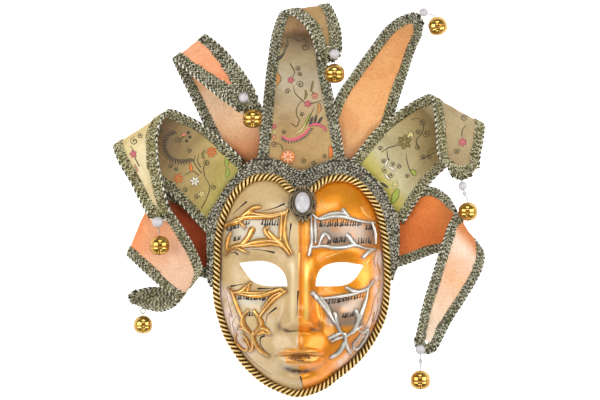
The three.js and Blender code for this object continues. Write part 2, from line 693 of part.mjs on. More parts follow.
// Hollow round bell with a ridge around its middle and a slot in its foot
function bellBody(radius) {
  const turned = (outline, size) => {
    const profile = outline.map(([x, y]) => new THREE.Vector2(x * size, y * size));
    return solidOf(new THREE.LatheGeometry(profile, BELL_SIDES));
  };
  const slot = new THREE.BoxGeometry(BELL_SLOT, radius, SLOT_LONG * radius);
  slot.translate(0, -SLOT_DROP * radius, 0);
  const cavity = turned(BELL_INSIDE, radius - BELL_WALL);
  return geometryOf(turned(BELL_OUTSIDE, radius).subtract(cavity).subtract(solidOf(slot)));
}

function addHanging(name, { bell: [x, y, z, radius], pearl, bead, lean = 0 }) {
  const turn = THREE.MathUtils.degToRad(lean);
  const round = addMesh(`bell_${name}`, bellBody(radius), MATERIALS.brass);
  round.position.set(x, y, z);
  round.rotation.z = turn;
  const crown = new THREE.Vector3(-Math.sin(turn), Math.cos(turn), 0);
  const wireStart = round.position.clone().addScaledVector(crown, radius + 2 * FIT_GAP);
  let wireEnd = wireStart.clone().addScaledVector(crown, WIRE_ALONE);
  for (const [kind, spot] of [['pearl', pearl], ['bead', bead]]) {
    if (spot) {
      const [px, py, pz, size] = spot;
      const ball = new THREE.SphereGeometry(size, 8, 5);
      addMesh(`${kind}_${name}`, ball, MATERIALS.pearl).position.set(px, py, pz);
      const centre = new THREE.Vector3(px, py, pz);
      const back = wireStart.clone().sub(centre).normalize();
      wireEnd = centre.addScaledVector(back, size + 2 * FIT_GAP);
    }
  }
  if (pearl) {
    addMesh(`wire_${name}`, tube([wireStart, wireEnd], WIRE_RADIUS, 5), MATERIALS.wire);
  } else {
    const loop = new THREE.TorusGeometry(RING.radius, WIRE_RADIUS, 5, 12);
    const ring = addMesh(`ring_${name}`, loop, MATERIALS.wire);
    ring.position.copy(wireStart).addScaledVector(crown, RING.lift);
  }
}

addMesh('face_shell', faceShell(), MATERIALS.face);
addMesh('rim_cord', rimCord(), MATERIALS.cord);
addMesh('hood_band', hoodBand(), MATERIALS.braid);

const cameo = new THREE.Group();
cameo.position.set(CAMEO.x, CAMEO.y, CAMEO.lift);
cameo.rotation.x = CAMEO.tilt;
mask.add(cameo);
cameo.add(addMesh('cameo_setting', cameoSetting(), MATERIALS.bronze));
const stone = addMesh('cameo_cabochon', cabochonStone(), MATERIALS.pearl);
stone.position.z = SETTING.thick / 2 + FIT_GAP;
cameo.add(stone);

for (const [name, ribs] of Object.entries(POINTS)) {
  const stations = pointStations(ribs);
  const cloth = new THREE.MeshStandardMaterial({ color: CLOTH_COLOURS[name], roughness: 0.85 });
  addMesh(`point_${name}`, clothBody(stations), cloth);
  addMesh(`braid_${name}`, braidBody(stations), MATERIALS.braid);
  addHanging(name, HANGINGS[name]);
}

export default mask;
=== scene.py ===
# A jester volto mask, dressed around its solids: a papier-mache face painted half cream and half
# gold, piped scrollwork, a twisted cord, plaited braid, brocade and velvet points, bells and pearls.
# Sizes and places are millimetres, measured from the middle of the cameo, as in the part's source.

import math

import bpy
import numpy as np
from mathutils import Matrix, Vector
from mathutils.bvhtree import BVHTree


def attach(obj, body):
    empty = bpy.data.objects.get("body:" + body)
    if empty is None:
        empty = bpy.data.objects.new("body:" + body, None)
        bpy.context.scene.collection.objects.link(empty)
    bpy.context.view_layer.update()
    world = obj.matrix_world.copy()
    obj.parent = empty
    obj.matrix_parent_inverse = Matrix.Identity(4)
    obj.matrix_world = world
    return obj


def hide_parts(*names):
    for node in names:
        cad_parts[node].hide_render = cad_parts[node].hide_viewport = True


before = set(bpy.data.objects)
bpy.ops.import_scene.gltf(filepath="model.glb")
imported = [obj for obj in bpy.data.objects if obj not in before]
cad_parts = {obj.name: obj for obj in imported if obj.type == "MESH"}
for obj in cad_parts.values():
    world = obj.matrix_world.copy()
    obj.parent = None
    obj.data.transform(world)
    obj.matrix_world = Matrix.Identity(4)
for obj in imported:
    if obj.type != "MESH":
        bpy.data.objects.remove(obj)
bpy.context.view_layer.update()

MM = 0.001
CENTRE_SHIFT = np.array([2.2, -2.9, 0.0])
FIT_GAP = 0.3

# Face shell, as in the part's source
WALL = 2.5
DOME_HEIGHT = 50
DOME_FLATNESS = 2.6
DOME_EDGE = 0.55
FACE_CENTRE = np.array([-1.5, -92.0])
MIDLINE_LEAN = 0.02
FEATURE_FADE = 0.16
RIM_INSET = -0.4
RIM = [
    (0, 24), (-20, 26.5), (-40, 28), (-54, 23.5), (-66, 13), (-74.5, -1.5), (-80, -18), (-82, -38),
    (-82.5, -63), (-82.3, -94), (-79, -115.3), (-73.6, -130.7), (-64.8, -146.1), (-53, -162.3),
    (-34, -178.7), (-19.5, -186.8), (-4, -190.6), (19, -183.5), (34, -172), (45.5, -163), (55, -154),
    (63, -144), (70, -133), (76.5, -119), (80.5, -104), (82.2, -88), (82.5, -63), (80.5, -38),
    (78.5, -20), (74.5, -4), (65, 13), (53, 24), (41, 28), (20, 26.5),
]
# Place across and up, spread across and up, and rise of each swelling or hollow
SWELLINGS = [
    (38, -73, 25, 15, -9), (17, -80, 8, 12, -5), (34, -47, 26, 8, 3.5), (45, -111, 22, 17, 5.5),
    (24, -132, 6, 12, -2.5), (46, -150, 18, 16, -2), (36, -6, 28, 20, 2.5), (0, -150, 27, 18, 8),
    (0, -138, 3, 7, -1.6), (0, -170.5, 17, 4.5, -4.5), (0, -182, 19, 9, 7),
    (13, -122, 6.5, 6.5, 7.5), (0, -116.5, 10, 9, 4.5),
]
NOSE = {"top": -48, "tip": -119, "base": -131, "rise": 18, "slim": 11, "broad": 14}
LIPS = {"line": -154, "half": 24.5, "upper": 150, "lower": 160.5, "rise": 4.6, "groove": 4}
LEFT_EYE = [
    (-63.7, -61.3), (-55, -60), (-47, -59.2), (-39, -59), (-30, -61.3), (-24, -64.7),
    (-19, -69.7), (-16, -76), (-14.5, -84.3), (-25, -84.3), (-35, -84), (-42, -82.7),
    (-49, -79.7), (-55, -73), (-60, -66),
]
RIGHT_EYE = [
    (62, -63.3), (53, -61.8), (45, -60.5), (35, -60.5), (26, -62.5), (20, -66), (16.3, -71),
    (14.3, -78), (13.5, -84.3), (26, -84.3), (38, -84), (46, -82), (52, -78), (58, -70),
]
INNER_CORNER = 8

# Cord and hood band, as in the part's source
CORD_RADIUS = 3
CORD_LOW = 3.4
CORD_HIGH = 12
CORD_CLIMB = (-165, -85)
CORD = [
    (0, 9), (-12, 13), (-22, 22), (-31, 25), (-42, 25), (-52, 22.5), (-65, 12), (-74, -2),
    (-84, -30), (-86, -63), (-86, -96), (-77.2, -130.7), (-68.3, -147.1), (-56, -164.4), (-36, -181.7),
    (-21.5, -188.8), (-4, -193.2), (20, -186.5), (36, -175), (48, -165.5), (58, -156), (66, -146),
    (73, -135), (80, -120), (84, -105), (85.7, -88), (86, -63), (82.5, -30), (75.5, -5),
    (64, 12), (53, 21), (43, 24), (32, 24), (22, 21), (11, 13),
]
SEAT_GAP = 1
BAND_THICK = 4.4
BAND_LEVEL = 12.6
BAND_LEAST = 1.5
BAND_START = math.radians(176)
BAND_END = math.radians(9)
BAND_EDGE = [
    (-92, -86), (-96, -75), (-95.5, -60), (-95.5, -20), (-92, -9), (-84, 3), (-77, 15), (-67, 27),
    (-59, 37), (-46, 44), (-32, 44), (-17, 39), (-2, 31.5), (13, 37), (28, 42), (43, 44), (55, 40),
    (68, 29), (81, 15), (90, -3), (96.5, -13), (97.5, -53), (97, -63), (92, -76),
]

CAMEO = {"x": 0.5, "y": -1.5, "lift": 38.8, "tilt": math.radians(-20)}
SETTING = {"half_wide": 13.4, "half_high": 18.4, "thick": 3.2}
CABOCHON = {"half_wide": 7.6, "half_high": 11, "rise": 5.5}

# Fabric points: left edge, right edge and height of each rib, from the hood out
CLOTH_THICK = 1.3
BRAID_THICK = 4
POINTS = {
    "centre": [
        (-46, 28.5, 45, 28.5, 7.2), (-41, 72, 38, 72, 9), (-38, 107, 31, 107, 11),
        (-34, 142, 25, 140, 13), (-29, 172, 23, 172, 18), (-19, 191, 27, 198, 31),
        (-2, 182, 35, 184, 41), (8, 169, 39, 170, 43), (14, 152, 40, 153, 41),
    ],
    "inner_left": [
        (-73, 34, -27, 34, 2.5), (-91.5, 64.3, -34, 77, 2.5), (-106.6, 95.2, -46.4, 105.6, 4),
        (-119.6, 121.3, -65, 132.5, 8), (-127.4, 137.4, -87, 158.3, 14), (-129.2, 143, -96.2, 167.8, 26),
        (-112, 129, -80, 155, 37), (-95, 115, -65, 138, 38), (-80, 103, -53, 122, 36),
        (-68, 95, -46, 109, 33),
    ],
    "inner_right": [
        (23, 34, 78, 30, 2.5), (26, 77, 88.4, 73.6, 2.5), (35, 105.6, 97.5, 103.6, 4),
        (50.6, 129.6, 105.5, 127.6, 8), (69, 155, 112.5, 149.6, 13), (84, 175, 118.4, 163.6, 19),
        (97, 185, 120.4, 168.6, 25), (110, 190, 119, 171, 29),
    ],
    "outer_left": [
        (-95, -32, -59, 42, 7.8), (-117, -8, -80, 62, 9.5, 8.5), (-137, 12, -102, 79, 14, 10.5),
        (-162, 34, -116, 86.3, 18, 14), (-188, 56.6, -133.5, 91.8, 26), (-184.2, 41.8, -144, 74, 37),
        (-171, 19, -145, 47, 39), (-161, -1, -140, 19, 38), (-155, -11, -133, -7, 36),
    ],
    "outer_right": [
        (50, 42, 102, -22, 7.8), (76, 74, 119, 6, 8.5), (103, 95, 136, 27, 10.5),
        (118, 104, 162, 50, 14), (129.2, 106.7, 181.6, 78, 26), (133, 89, 181.2, 62, 37),
        (135, 67, 178.2, 47, 39), (137.2, 45.6, 177, 35, 38), (147, 33.8, 173.2, 33.6, 36),
    ],
    "lower_left": [
        (-88, -79, -88, -10, 2.5), (-112, -72, -112, 1, 2.5), (-144, -63, -131, 11, 4.5),
        (-175.6, -53.4, -146.6, 16, 13), (-168, -61, -136, -2, 21), (-154, -74, -121, -24, 23),
        (-141, -86, -108, -46, 22), (-126.4, -101.2, -101.6, -69.6, 15), (-140, -110, -130, -86, 8),
        (-155.6, -108, -152, -86, 7), (-166.4, -103.6, -165.6, -88.6, 4.5, 14),
    ],
    "lower_right": [
        (89, -6, 89, -68, 2.5), (108, 9, 110, -60.8, 2.5), (130, 15, 136, -51, 6),
        (146.4, 5.6, 164, -50, 11), (153.4, -10.4, 180.4, -48, 19), (147, -24, 182, -62, 28),
        (140, -44, 176, -77, 31), (130.8, -73.2, 163, -99, 30), (122.8, -98.2, 149, -121, 28),
        (114.8, -133, 136, -147, 26),
    ],
}

# What hangs from each point: places, heights and radii, as in the part's source
HANGINGS = {
    "centre": {"bell": (32.6, 128.6, 45, 10), "pearl": (32.5, 148, 48.6, 5)},
    "inner_left": {"bell": (-49.5, 83.6, 43.5, 10), "pearl": (-58.5, 104.5, 41.5, 5)},
    "inner_right": {"bell": (136, 176.6, 30, 9.6), "pearl": (122, 190, 36.8, 4.5), "lean": 20},
    "outer_left": {"bell": (-142.5, -43.4, 37.5, 10), "pearl": (-144.5, -20, 43.5, 5.5)},
    "outer_right": {
        "bell": (166.2, -9.5, 35, 9.6), "pearl": (161, 16, 36, 4.5), "bead": (163, 8.5, 36, 2.4),
    },
    "lower_left": {"bell": (-160.1, -123.5, 10, 9.4)},
    "lower_right": {
        "bell": (119, -179, 16, 10), "pearl": (118.5, -148, 33, 5), "bead": (119, -160, 24, 2.4),
    },
}

# Piped scrollwork: half widths at the start, middle and end of each stroke, and its places
GOLD_PIPING = [
    (1.2, 2.0, 1.6, [(-17, -11), (-30, -15), (-44, -14.5), (-56, -15), (-66, -18), (-76, -23)]),
    (1.0, 1.6, 1.2, [(-18, -10), (-32, -13.5), (-46, -12), (-55, -10)]),
    (1.2, 2.2, 1.8, [(-62, -16), (-54, -10), (-48, -5.5), (-43, -5)]),
    (1.8, 1.4, 0.8, [(-19, -12), (-15, -9), (-12.5, -6)]),
    (1.4, 2.2, 1.6, [(-59, -17), (-66, -20), (-73, -22), (-77, -25)]),
    (1.6, 1.6, 0.9, [(-66, -17), (-61, -21), (-57, -25.5)]),
    (1.2, 1.5, 1.2, [(-14, -7), (-17, -18), (-17.5, -30), (-15, -41), (-10.5, -51)]),
    (1.2, 1.3, 1.0, [(-20.5, -14), (-21, -26), (-21.5, -38)]),
    (1.6, 2.4, 1.4, [(-33, -30), (-27, -37), (-20, -43), (-13, -52)]),
    (1.2, 1.6, 1.4, [(-31, -37), (-35, -32), (-37, -27), (-34, -25.5)]),
    (1.6, 2.0, 1.4, [(-22, -41), (-34, -39), (-47, -40), (-57, -43)]),
    (0.9, 1.4, 1.0, [(-19, -44.5), (-32, -42.5), (-46, -43.5), (-59, -45)]),
    (1.0, 1.8, 3.0, [(-66, -47), (-59, -41), (-53, -34), (-50, -28)]),
    (1.2, 1.8, 0.9, [(-53, -43), (-64, -44), (-72, -47), (-76.5, -53)]),
    (1.4, 1.5, 0.6, [(-64, -46), (-59, -48.5), (-55, -50)]),
    (1.0, 1.6, 1.0, [(-71, -31), (-74.5, -38), (-75.5, -48)]),
    (1.0, 1.8, 1.6, [(-73, -87), (-69, -90.5), (-62, -90), (-56, -85), (-52, -81.8)]),
    (1.2, 1.4, 0.8, [(-53, -82.5), (-54, -87), (-55, -91)]),
    (1.2, 1.9, 1.5, [(-63, -92), (-52, -93.5), (-40, -93), (-30, -90), (-22, -87.5), (-17, -89)]),
    (1.0, 1.5, 1.0, [(-59, -90.5), (-48, -91.3), (-37, -90.5)]),
    (1.6, 1.2, 1.4, [(-70, -90), (-67, -99), (-63, -109), (-59, -116)]),
    (1.2, 1.8, 1.2, [(-16, -89), (-23, -93.5), (-29, -98), (-36, -106), (-42, -114)]),
    (1.0, 1.3, 1.0, [(-22, -91), (-29, -94), (-34, -99), (-39, -106)]),
    (1.2, 2.2, 1.6, [(-54, -109), (-59, -115), (-59, -122), (-54, -129), (-49, -134)]),
    (1.6, 2.4, 1.6, [(-47.5, -109), (-43, -116), (-41, -123), (-44.5, -129), (-49, -134)]),
    (0.8, 1.6, 1.2, [(-63, -126), (-58, -126.5), (-54, -129)]),
    (1.6, 2.0, 1.0, [(-45, -129), (-39, -126.5), (-34, -129), (-32, -132)]),
    (1.2, 1.4, 0.8, [(-44, -132), (-38, -130.5), (-33, -132)]),
    (2.2, 2.0, 0.9, [(-49, -133), (-48.5, -141), (-50, -148), (-53, -150)]),
    (1.8, 1.5, 0.8, [(-48, -139), (-44, -146), (-39, -151), (-34, -154)]),
    (0.7, 1.0, 0.7, [(-66, -133), (-67, -139), (-62, -146), (-56, -149), (-54, -145), (-59, -138)]),
    (0.8, 1.1, 0.8, [(-59, -132), (-55, -138), (-52, -145)]),
]
SILVER_PIPING = [
    (1.2, 1.8, 1.0, [(9, -11), (17, -17), (29, -15), (41, -14.5), (50, -17), (60, -19.5), (73, -21)]),
    (1.0, 1.6, 1.2, [(18, -16), (27, -12.5), (38, -11), (44, -12)]),
    (1.4, 1.6, 2.4, [(49, -17), (45, -13), (41.5, -8.5)]),
    (1.2, 1.5, 1.5, [(9, -13), (9.8, -26), (10, -38), (8.5, -46), (7, -53)]),
    (1.3, 1.3, 1.2, [(13.2, -17), (13.6, -28), (13.6, -40)]),
    (1.4, 1.9, 1.0, [(11, -45), (21, -44), (32, -45.5), (43, -45), (52, -43), (62, -46), (73, -47.5)]),
    (1.3, 1.5, 2.8, [(55, -44), (50, -39), (46, -34)]),
    (1.0, 1.5, 1.6, [(17, -43), (19, -36), (22, -32), (26, -33.5), (27.5, -36.5)]),
    (0.9, 1.5, 1.9, [(74, -47), (67, -50), (61.5, -55)]),
    (0.8, 1.4, 0.8, [(70, -20), (73.5, -30), (74, -42)]),
    (2.8, 2.2, 1.2, [(11, -91), (17, -97.5), (23, -105), (28, -113), (34, -122)]),
    (1.0, 1.2, 0.8, [(19, -95.5), (24, -102), (28.5, -110)]),
    (1.2, 1.6, 1.0, [(20, -96.5), (31, -95.5), (43, -93.5), (54, -91.5), (66, -86.5)]),
    (2.0, 1.5, 0.9, [(45, -86), (50, -88.5), (58, -89.5), (66, -86), (71, -79)]),
    (1.1, 1.6, 1.2, [(66, -87), (64, -98), (60, -110), (56, -120), (51, -131)]),
    (2.2, 1.4, 1.4, [(33, -112), (35, -121), (38, -129), (44, -134)]),
    (2.2, 1.5, 1.3, [(54, -109), (56, -118), (52, -128), (45, -134)]),
    (1.8, 1.6, 1.2, [(28, -136), (33, -133.5), (39, -131)]),
    (0.9, 1.3, 1.0, [(29.5, -139.5), (34.5, -137), (40, -135)]),
    (0.8, 1.5, 1.3, [(60, -124), (54, -127.5), (48, -132)]),
    (2.0, 1.8, 0.9, [(43, -133), (43.5, -140), (46, -147), (49, -152)]),
    (1.9, 1.9, 1.7, [(43, -140), (39, -148), (34, -153), (29.5, -155.5)]),
    (0.7, 1.1, 0.7, [(56, -128), (62, -131), (66, -127), (63, -138), (54, -148), (51, -144), (58, -134)]),
]
PIPING_RISE = 1.7

# Thin painted lines: places from the fine end to the dot
DARK_LINES = [
    [(-70, -13), (-63, -6), (-56, 0)], [(-40, -9), (-29, -6.5), (-18, -2)],
    [(-13.5, -43), (-12.5, -33), (-11, -22)], [(-51, -47.5), (-40, -48), (-28, -50.5)],
    [(-73, -51.5), (-68, -50.5), (-64.5, -52.5)], [(-56, -81.5), (-63, -83), (-71, -84.5)],
    [(-19, -85.7), (-32, -86.3), (-44, -86.6)], [(-5, -113), (-4.6, -100), (-3.8, -89)],
    [(-36, -126), (-35, -114), (-26, -106)], [(-34, -152), (-41, -144), (-41.5, -136), (-37.7, -134)],
    [(1, -188.5), (0.3, -183), (-1.5, -175.5)],
]
PALE_LINES = [
    [(26.5, -8), (22, -3), (19.5, 2)], [(72, -17), (64, -12.5), (59.5, -5.5)],
    [(4.6, -50), (4.2, -35), (4.6, -20)], [(40, -50), (31, -53), (24, -55.5)],
    [(72, -54), (68, -57), (65, -62)], [(40, -91.2), (29, -90), (23, -86.5)],
    [(18.5, -104), (21.5, -119), (29.5, -124), (31, -131)], [(-3, -67), (-3, -60), (-2.4, -51.5)],
]
WASH_LINES = [
    [(-75, -86), (-70, -96), (-66, -108), (-62, -121), (-59, -130)],
    [(-77, -90), (-73, -104), (-70, -116), (-73, -112), (-72, -126)],
    [(-69, -128), (-64, -141), (-54, -155), (-42, -166), (-30, -174)],
    [(-66, -114), (-70, -122), (-66, -130), (-63, -124)],
    [(77, -50), (76, -62), (78, -72), (76, -80)],
    [(78, -87), (72, -99), (69.5, -111), (64, -124), (55, -137), (50, -148)],
    [(76, -96), (76, -108), (71, -121), (73, -110), (69, -126)],
    [(68, -131), (60, -145), (49, -158), (40, -166)],
    [(74, -52), (72, -58), (74, -66)],
]
# Rows of small strokes in the pale panels: start, end, count and height
STAFF_ROWS = [
    ((-76, -29), (-63, -25), 6, 4.5), ((-57, -22), (-52, -21.5), 2, 4),
    ((-41, -22.5), (-23.5, -23), 7, 6), ((-70, -39.5), (-61, -37), 4, 3.5),
    ((-68, -97), (-33, -97.5), 13, 5), ((-56.5, -113.5), (-46, -113.5), 4, 3),
    ((16.5, -24), (60, -23), 17, 5.5), ((64, -27.5), (72, -26), 4, 4),
    ((25, -41), (43, -39), 8, 4.5), ((56, -40.5), (70, -41.5), 6, 4.5),
    ((23, -102), (62, -95), 14, 5), ((39, -115), (52, -113.5), 5, 3.5),
]


def paint(red, green, blue):
    """Shader colour for a colour as it looks on the object, 0 to 255"""
    def linear(value):
        share = value / 255
        return share / 12.92 if share <= 0.04045 else ((share + 0.055) / 1.055) ** 2.4
    return (linear(red), linear(green), linear(blue), 1.0)


def in_frame(places):
    return (np.asarray(places, float) + CENTRE_SHIFT) * MM


def smoothstep(value, low, high):
    share = np.clip((value - low) / (high - low), 0, 1)
    return share * share * (3 - 2 * share)


def lengths(vectors):
    return np.linalg.norm(vectors, axis=-1, keepdims=True)


def unit(vectors):
    return vectors / np.maximum(lengths(vectors), 1e-9)


def distances(points):
    """How far along a row of points each of them is"""
    return np.concatenate([[0], np.cumsum(lengths(np.diff(points, axis=0))[:, 0])])


def read_off(columns, run, wanted):
    """Rows of numbers between those given along a run"""
    return np.stack([np.interp(wanted, run, column) for column in columns.T], 1)


def angles_round(count):
    return np.arange(count) / count * 2 * math.pi


def curve(points, shares, closed=False):
    """Places on the smooth curve through a row of points, at shares from 0 to 1"""
    knots = np.asarray(points, float)
    count = len(knots)
    spans = count if closed else count - 1
    scaled = np.asarray(shares, float) * spans
    first = np.clip(np.floor(scaled).astype(int), 0, spans - 1)
    along = (scaled - first)[:, None]
    if closed:
        p0, p1, p2, p3 = (knots[(first + k) % count] for k in (-1, 0, 1, 2))
    else:
        padded = np.vstack([2 * knots[0] - knots[1], knots, 2 * knots[-1] - knots[-2]])
        p0, p1, p2, p3 = (padded[first + k] for k in (0, 1, 2, 3))
    gaps = [np.sqrt(lengths(b - a)) for a, b in ((p0, p1), (p1, p2), (p2, p3))]
    middle = np.where(gaps[1] < 1e-4, 1.0, gaps[1])
    before = np.where(gaps[0] < 1e-4, middle, gaps[0])
    after = np.where(gaps[2] < 1e-4, middle, gaps[2])
    out = ((p1 - p0) / before - (p2 - p0) / (before + middle) + (p2 - p1) / middle) * middle
    into = ((p2 - p1) / middle - (p3 - p1) / (middle + after) + (p3 - p2) / after) * middle
    c2 = -3 * p1 + 3 * p2 - 2 * out - into
    c3 = 2 * p1 - 2 * p2 + out + into
    return p1 + out * along + c2 * along**2 + c3 * along**3


def evenly(points, spacing):
    """Points of a polyline at an even spacing"""
    points = np.asarray(points, float)
    run = distances(points)
    count = max(int(round(run[-1] / spacing)), 2)
    return read_off(points, run, np.linspace(0, run[-1], count + 1))


def radial_outline(points, closed):
    count = len(points) * 10
    sampled = curve(points, np.linspace(0, 1, count + 1), closed) - FACE_CENTRE
    angles = np.arctan2(sampled[:, 1], sampled[:, 0])
    order = np.argsort(angles)
    return angles[order], lengths(sampled)[order, 0]


RIM_LINE = radial_outline(RIM, True)
CORD_LINE = radial_outline(CORD, True)
BAND_LINE = radial_outline(BAND_EDGE, False)


def rim_radius(angles):
    return np.interp(angles, *RIM_LINE) - RIM_INSET


def at_angle(angles, radii):
    return np.stack([
        FACE_CENTRE[0] + radii * np.cos(angles),
        FACE_CENTRE[1] + radii * np.sin(angles),
    ], -1)


def hump(offset, spread):
    return np.exp(-((offset / spread) ** 2))


def rim_share(x, y):
    dx, dy = x - FACE_CENTRE[0], y - FACE_CENTRE[1]
    return np.hypot(dx, dy) / rim_radius(np.arctan2(dy, dx))


def face_height(x, y):
    """Height of the face's outside above its rim"""
    x, y = np.asarray(x, float), np.asarray(y, float)
    share = np.minimum(rim_share(x, y), 1)
    across = x - MIDLINE_LEAN * y
    along = np.clip((NOSE["top"] - y) / (NOSE["top"] - NOSE["tip"]), 0, 1)
    width = NOSE["slim"] + (NOSE["broad"] - NOSE["slim"]) * along
    under = 1 - smoothstep(NOSE["tip"] - y, 2, NOSE["tip"] - NOSE["base"])
    rise = NOSE["rise"] * along**1.25 * under * np.exp(-((across / width) ** 4))
    inset = np.sqrt(np.maximum(1 - (across / LIPS["half"]) ** 2, 0))
    swell = 0.8 * hump(y + LIPS["upper"], 3.2) + hump(y + LIPS["lower"], 4)
    rise += inset * (LIPS["rise"] * swell - LIPS["groove"] * hump(y - LIPS["line"], 1.6))
    for side, up, wide, tall, amount in SWELLINGS:
        far = 0 if side == 0 else hump(across + side, wide)
        rise += amount * (hump(across - side, wide) + far) * hump(y - up, tall)
    rise += finer_features(x, y)
    dome = DOME_HEIGHT * (1 - share**DOME_FLATNESS) ** DOME_EDGE
    return np.where(share >= 1, 0, dome + rise * np.minimum(1, (1 - share) / FEATURE_FADE))


# Nostrils: place across and up, spread across and up, and slant
NOSTRILS = ((-16, -128, 4.4, 2.1, -0.3), (11, -127.3, 5.2, 1.9, -0.2), (-8, -128.8, 5, 0.8, 0.1))


def nostrils(x, y):
    return sum(hump(x - across, wide) * hump(y - up - slant * (x - across), tall)
               for across, up, wide, tall, slant in NOSTRILS)


def lip_edges(across):
    """Upper and lower edge of the painted lips at a distance from the midline"""
    line = LIPS["line"]
    bow = 8.8 * np.maximum(1 - (across / 23) ** 2, 0) ** 0.8 - 2.6 * hump(across, 3.4)
    return line - 10.3 * np.maximum(1 - (across / 21) ** 2, 0) ** 0.9, line + bow


def finer_features(x, y):
    """Crisper lips, nostrils and nose wings than the part's own face carries"""
    across = x - MIDLINE_LEAN * y
    lower, upper = lip_edges(across)
    mouth = smoothstep(24 - np.abs(across), 0, 6)
    edges = 0.55 * hump(y - upper, 1.0) + 0.5 * hump(y - lower, 1.2)
    rise = mouth * (1.9 * hump(y - LIPS["line"], 1.7) + edges)
    rise += -1.5 * nostrils(x, y) - 0.9 * mouth * hump(across, 1.9) * hump(y + 140, 5)
    for side in (-1, 1):
        rise += 1.2 * hump(across - side * 12.5, 3.4) * hump(y + 123, 3.6)
    return rise


def face_normal(x, y, reach=0.8):
    slope_x = (face_height(x + reach, y) - face_height(x - reach, y)) / (2 * reach)
    slope_y = (face_height(x, y + reach) - face_height(x, y - reach)) / (2 * reach)
    return unit(np.stack([-slope_x, -slope_y, np.ones_like(slope_x)], -1))


def on_face(places):
    """Corner places and outward directions on the face, for places seen from the front"""
    x, y = places[..., 0], places[..., 1]
    return np.stack([x, y, face_height(x, y)], -1), face_normal(x, y)


def rest_height(places, radius):
    """Height at which a ball would rest on the face at each place"""
    reach = radius * np.arange(9)[:, None] / 8
    turn = np.arange(24)[None] * math.pi / 12
    rise = np.sqrt(np.maximum(radius**2 - reach**2, 0)) + 0 * turn
    under = face_height(
        places[:, 0, None, None] + reach * np.cos(turn),
        places[:, 1, None, None] + reach * np.sin(turn),
    )
    return np.where(under > 0, under + rise, 0).max(axis=(1, 2))


def smoothed(heights, reach, ends):
    """A running mean, with the ends carried on by wrapping round or by their own height"""
    share = np.full(2 * reach + 1, 1 / (2 * reach + 1))
    return np.convolve(np.pad(heights, reach, ends), share, "valid")


def swing(first, second, angles):
    """Directions turned by angles from the first one towards the second"""
    angles = np.asarray(angles)[..., None]
    return first * np.cos(angles) + second * np.sin(angles)


def fill(rows, key, numbers):
    kind = np.int32 if numbers.dtype.kind in "bi" else np.float32
    rows.foreach_set(key, numbers.astype(kind).ravel())


class Heap:
    """Closed bodies gathered into one mesh, with a map place and values at each corner"""

    def __init__(self):
        self.count, self.corners, self.values = 0, [], {}
        self.faces = {4: [], 3: []}

    def add(self, corners, quads=(), triangles=(), quad_map=None, triangle_map=None, slot=0, **values):
        corners = np.asarray(corners, float).reshape(-1, 3)
        self.corners.append(corners)
        self.add_faces(4, quads, slot, quad_map, self.count)
        self.add_faces(3, triangles, slot, triangle_map, self.count)
        for key, value in values.items():
            rows = self.values.setdefault(key, [])
            rows.append(np.broadcast_to(value, (len(corners), *np.shape(value)[1:])))
        self.count += len(corners)

    def add_faces(self, sides, faces, slot, places=None, first=0):
        """Faces whose corners are counted on from the first one given"""
        faces = np.asarray(faces, int).reshape(-1, sides)
        places = np.zeros((len(faces), sides, 2)) if places is None else places
        self.faces[sides].append((faces + first, places, np.full(len(faces), slot)))

    def mesh(self, name):
        made = bpy.data.meshes.new(name)
        corners = in_frame(np.concatenate(self.corners))
        made.vertices.add(len(corners))
        fill(made.vertices, "co", corners)
        (quads, quad_maps, quad_slots), (triangles, triangle_maps, triangle_slots) = (
            [np.concatenate(part) for part in zip(*self.faces[sides])] for sides in (4, 3)
        )
        loops = np.concatenate([quads.ravel(), triangles.ravel()])
        made.loops.add(len(loops))
        fill(made.loops, "vertex_index", loops)
        starts = np.concatenate([np.arange(len(quads)) * 4, len(quads) * 4 + np.arange(len(triangles)) * 3])
        made.polygons.add(len(starts))
        fill(made.polygons, "loop_start", starts)
        fill(made.polygons, "material_index", np.concatenate([quad_slots, triangle_slots]))
        made.update(calc_edges=True)
        fill(made.polygons, "use_smooth", np.ones(len(starts), int))
        maps = np.concatenate([quad_maps.reshape(-1, 2), triangle_maps.reshape(-1, 2)])
        fill(made.uv_layers.new(name="run").data, "uv", maps)
        for key, rows in self.values.items():
            data = np.concatenate([np.asarray(row, float) for row in rows])
            kind, field = ("FLOAT", "value") if data.ndim == 1 else ("FLOAT_COLOR", "color")
            fill(made.attributes.new(key, kind, "POINT").data, field, data)
        return made


def set_out(name, data):
    """A new object in the scene"""
    made = bpy.data.objects.new(name, data)
    bpy.context.scene.collection.objects.link(made)
    return made


def piece(name, heap, materials, nodes=(), sharp=None):
    """Puts a heap's mesh in the scene, riding on the mask and standing for its solids"""
    mesh = heap.mesh(name)
    for material in materials:
        mesh.materials.append(material)
    if sharp is not None:
        mesh.set_sharp_from_angle(angle=math.radians(sharp))
    made = set_out(name, mesh)
    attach(made, "root")
    if nodes:
        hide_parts(*nodes)
    return made


def skin(rows, columns, wrap=True, looped=False):
    """Quads between rows of corners, and the row and column at each of their corners"""
    last = rows if looped else rows - 1
    i, j = np.meshgrid(np.arange(last), np.arange(columns if wrap else columns - 1), indexing="ij")
    ahead, beside = (i + 1) % rows, (j + 1) % columns
    quads = np.stack([i * columns + j, i * columns + beside, ahead * columns + beside,
                      ahead * columns + j], -1).reshape(-1, 4)
    spots = np.stack([
        np.stack([j, i], -1), np.stack([j + 1, i], -1), np.stack([j + 1, i + 1], -1),
        np.stack([j, i + 1], -1),
    ], 2).reshape(-1, 4, 2)
    return quads, spots


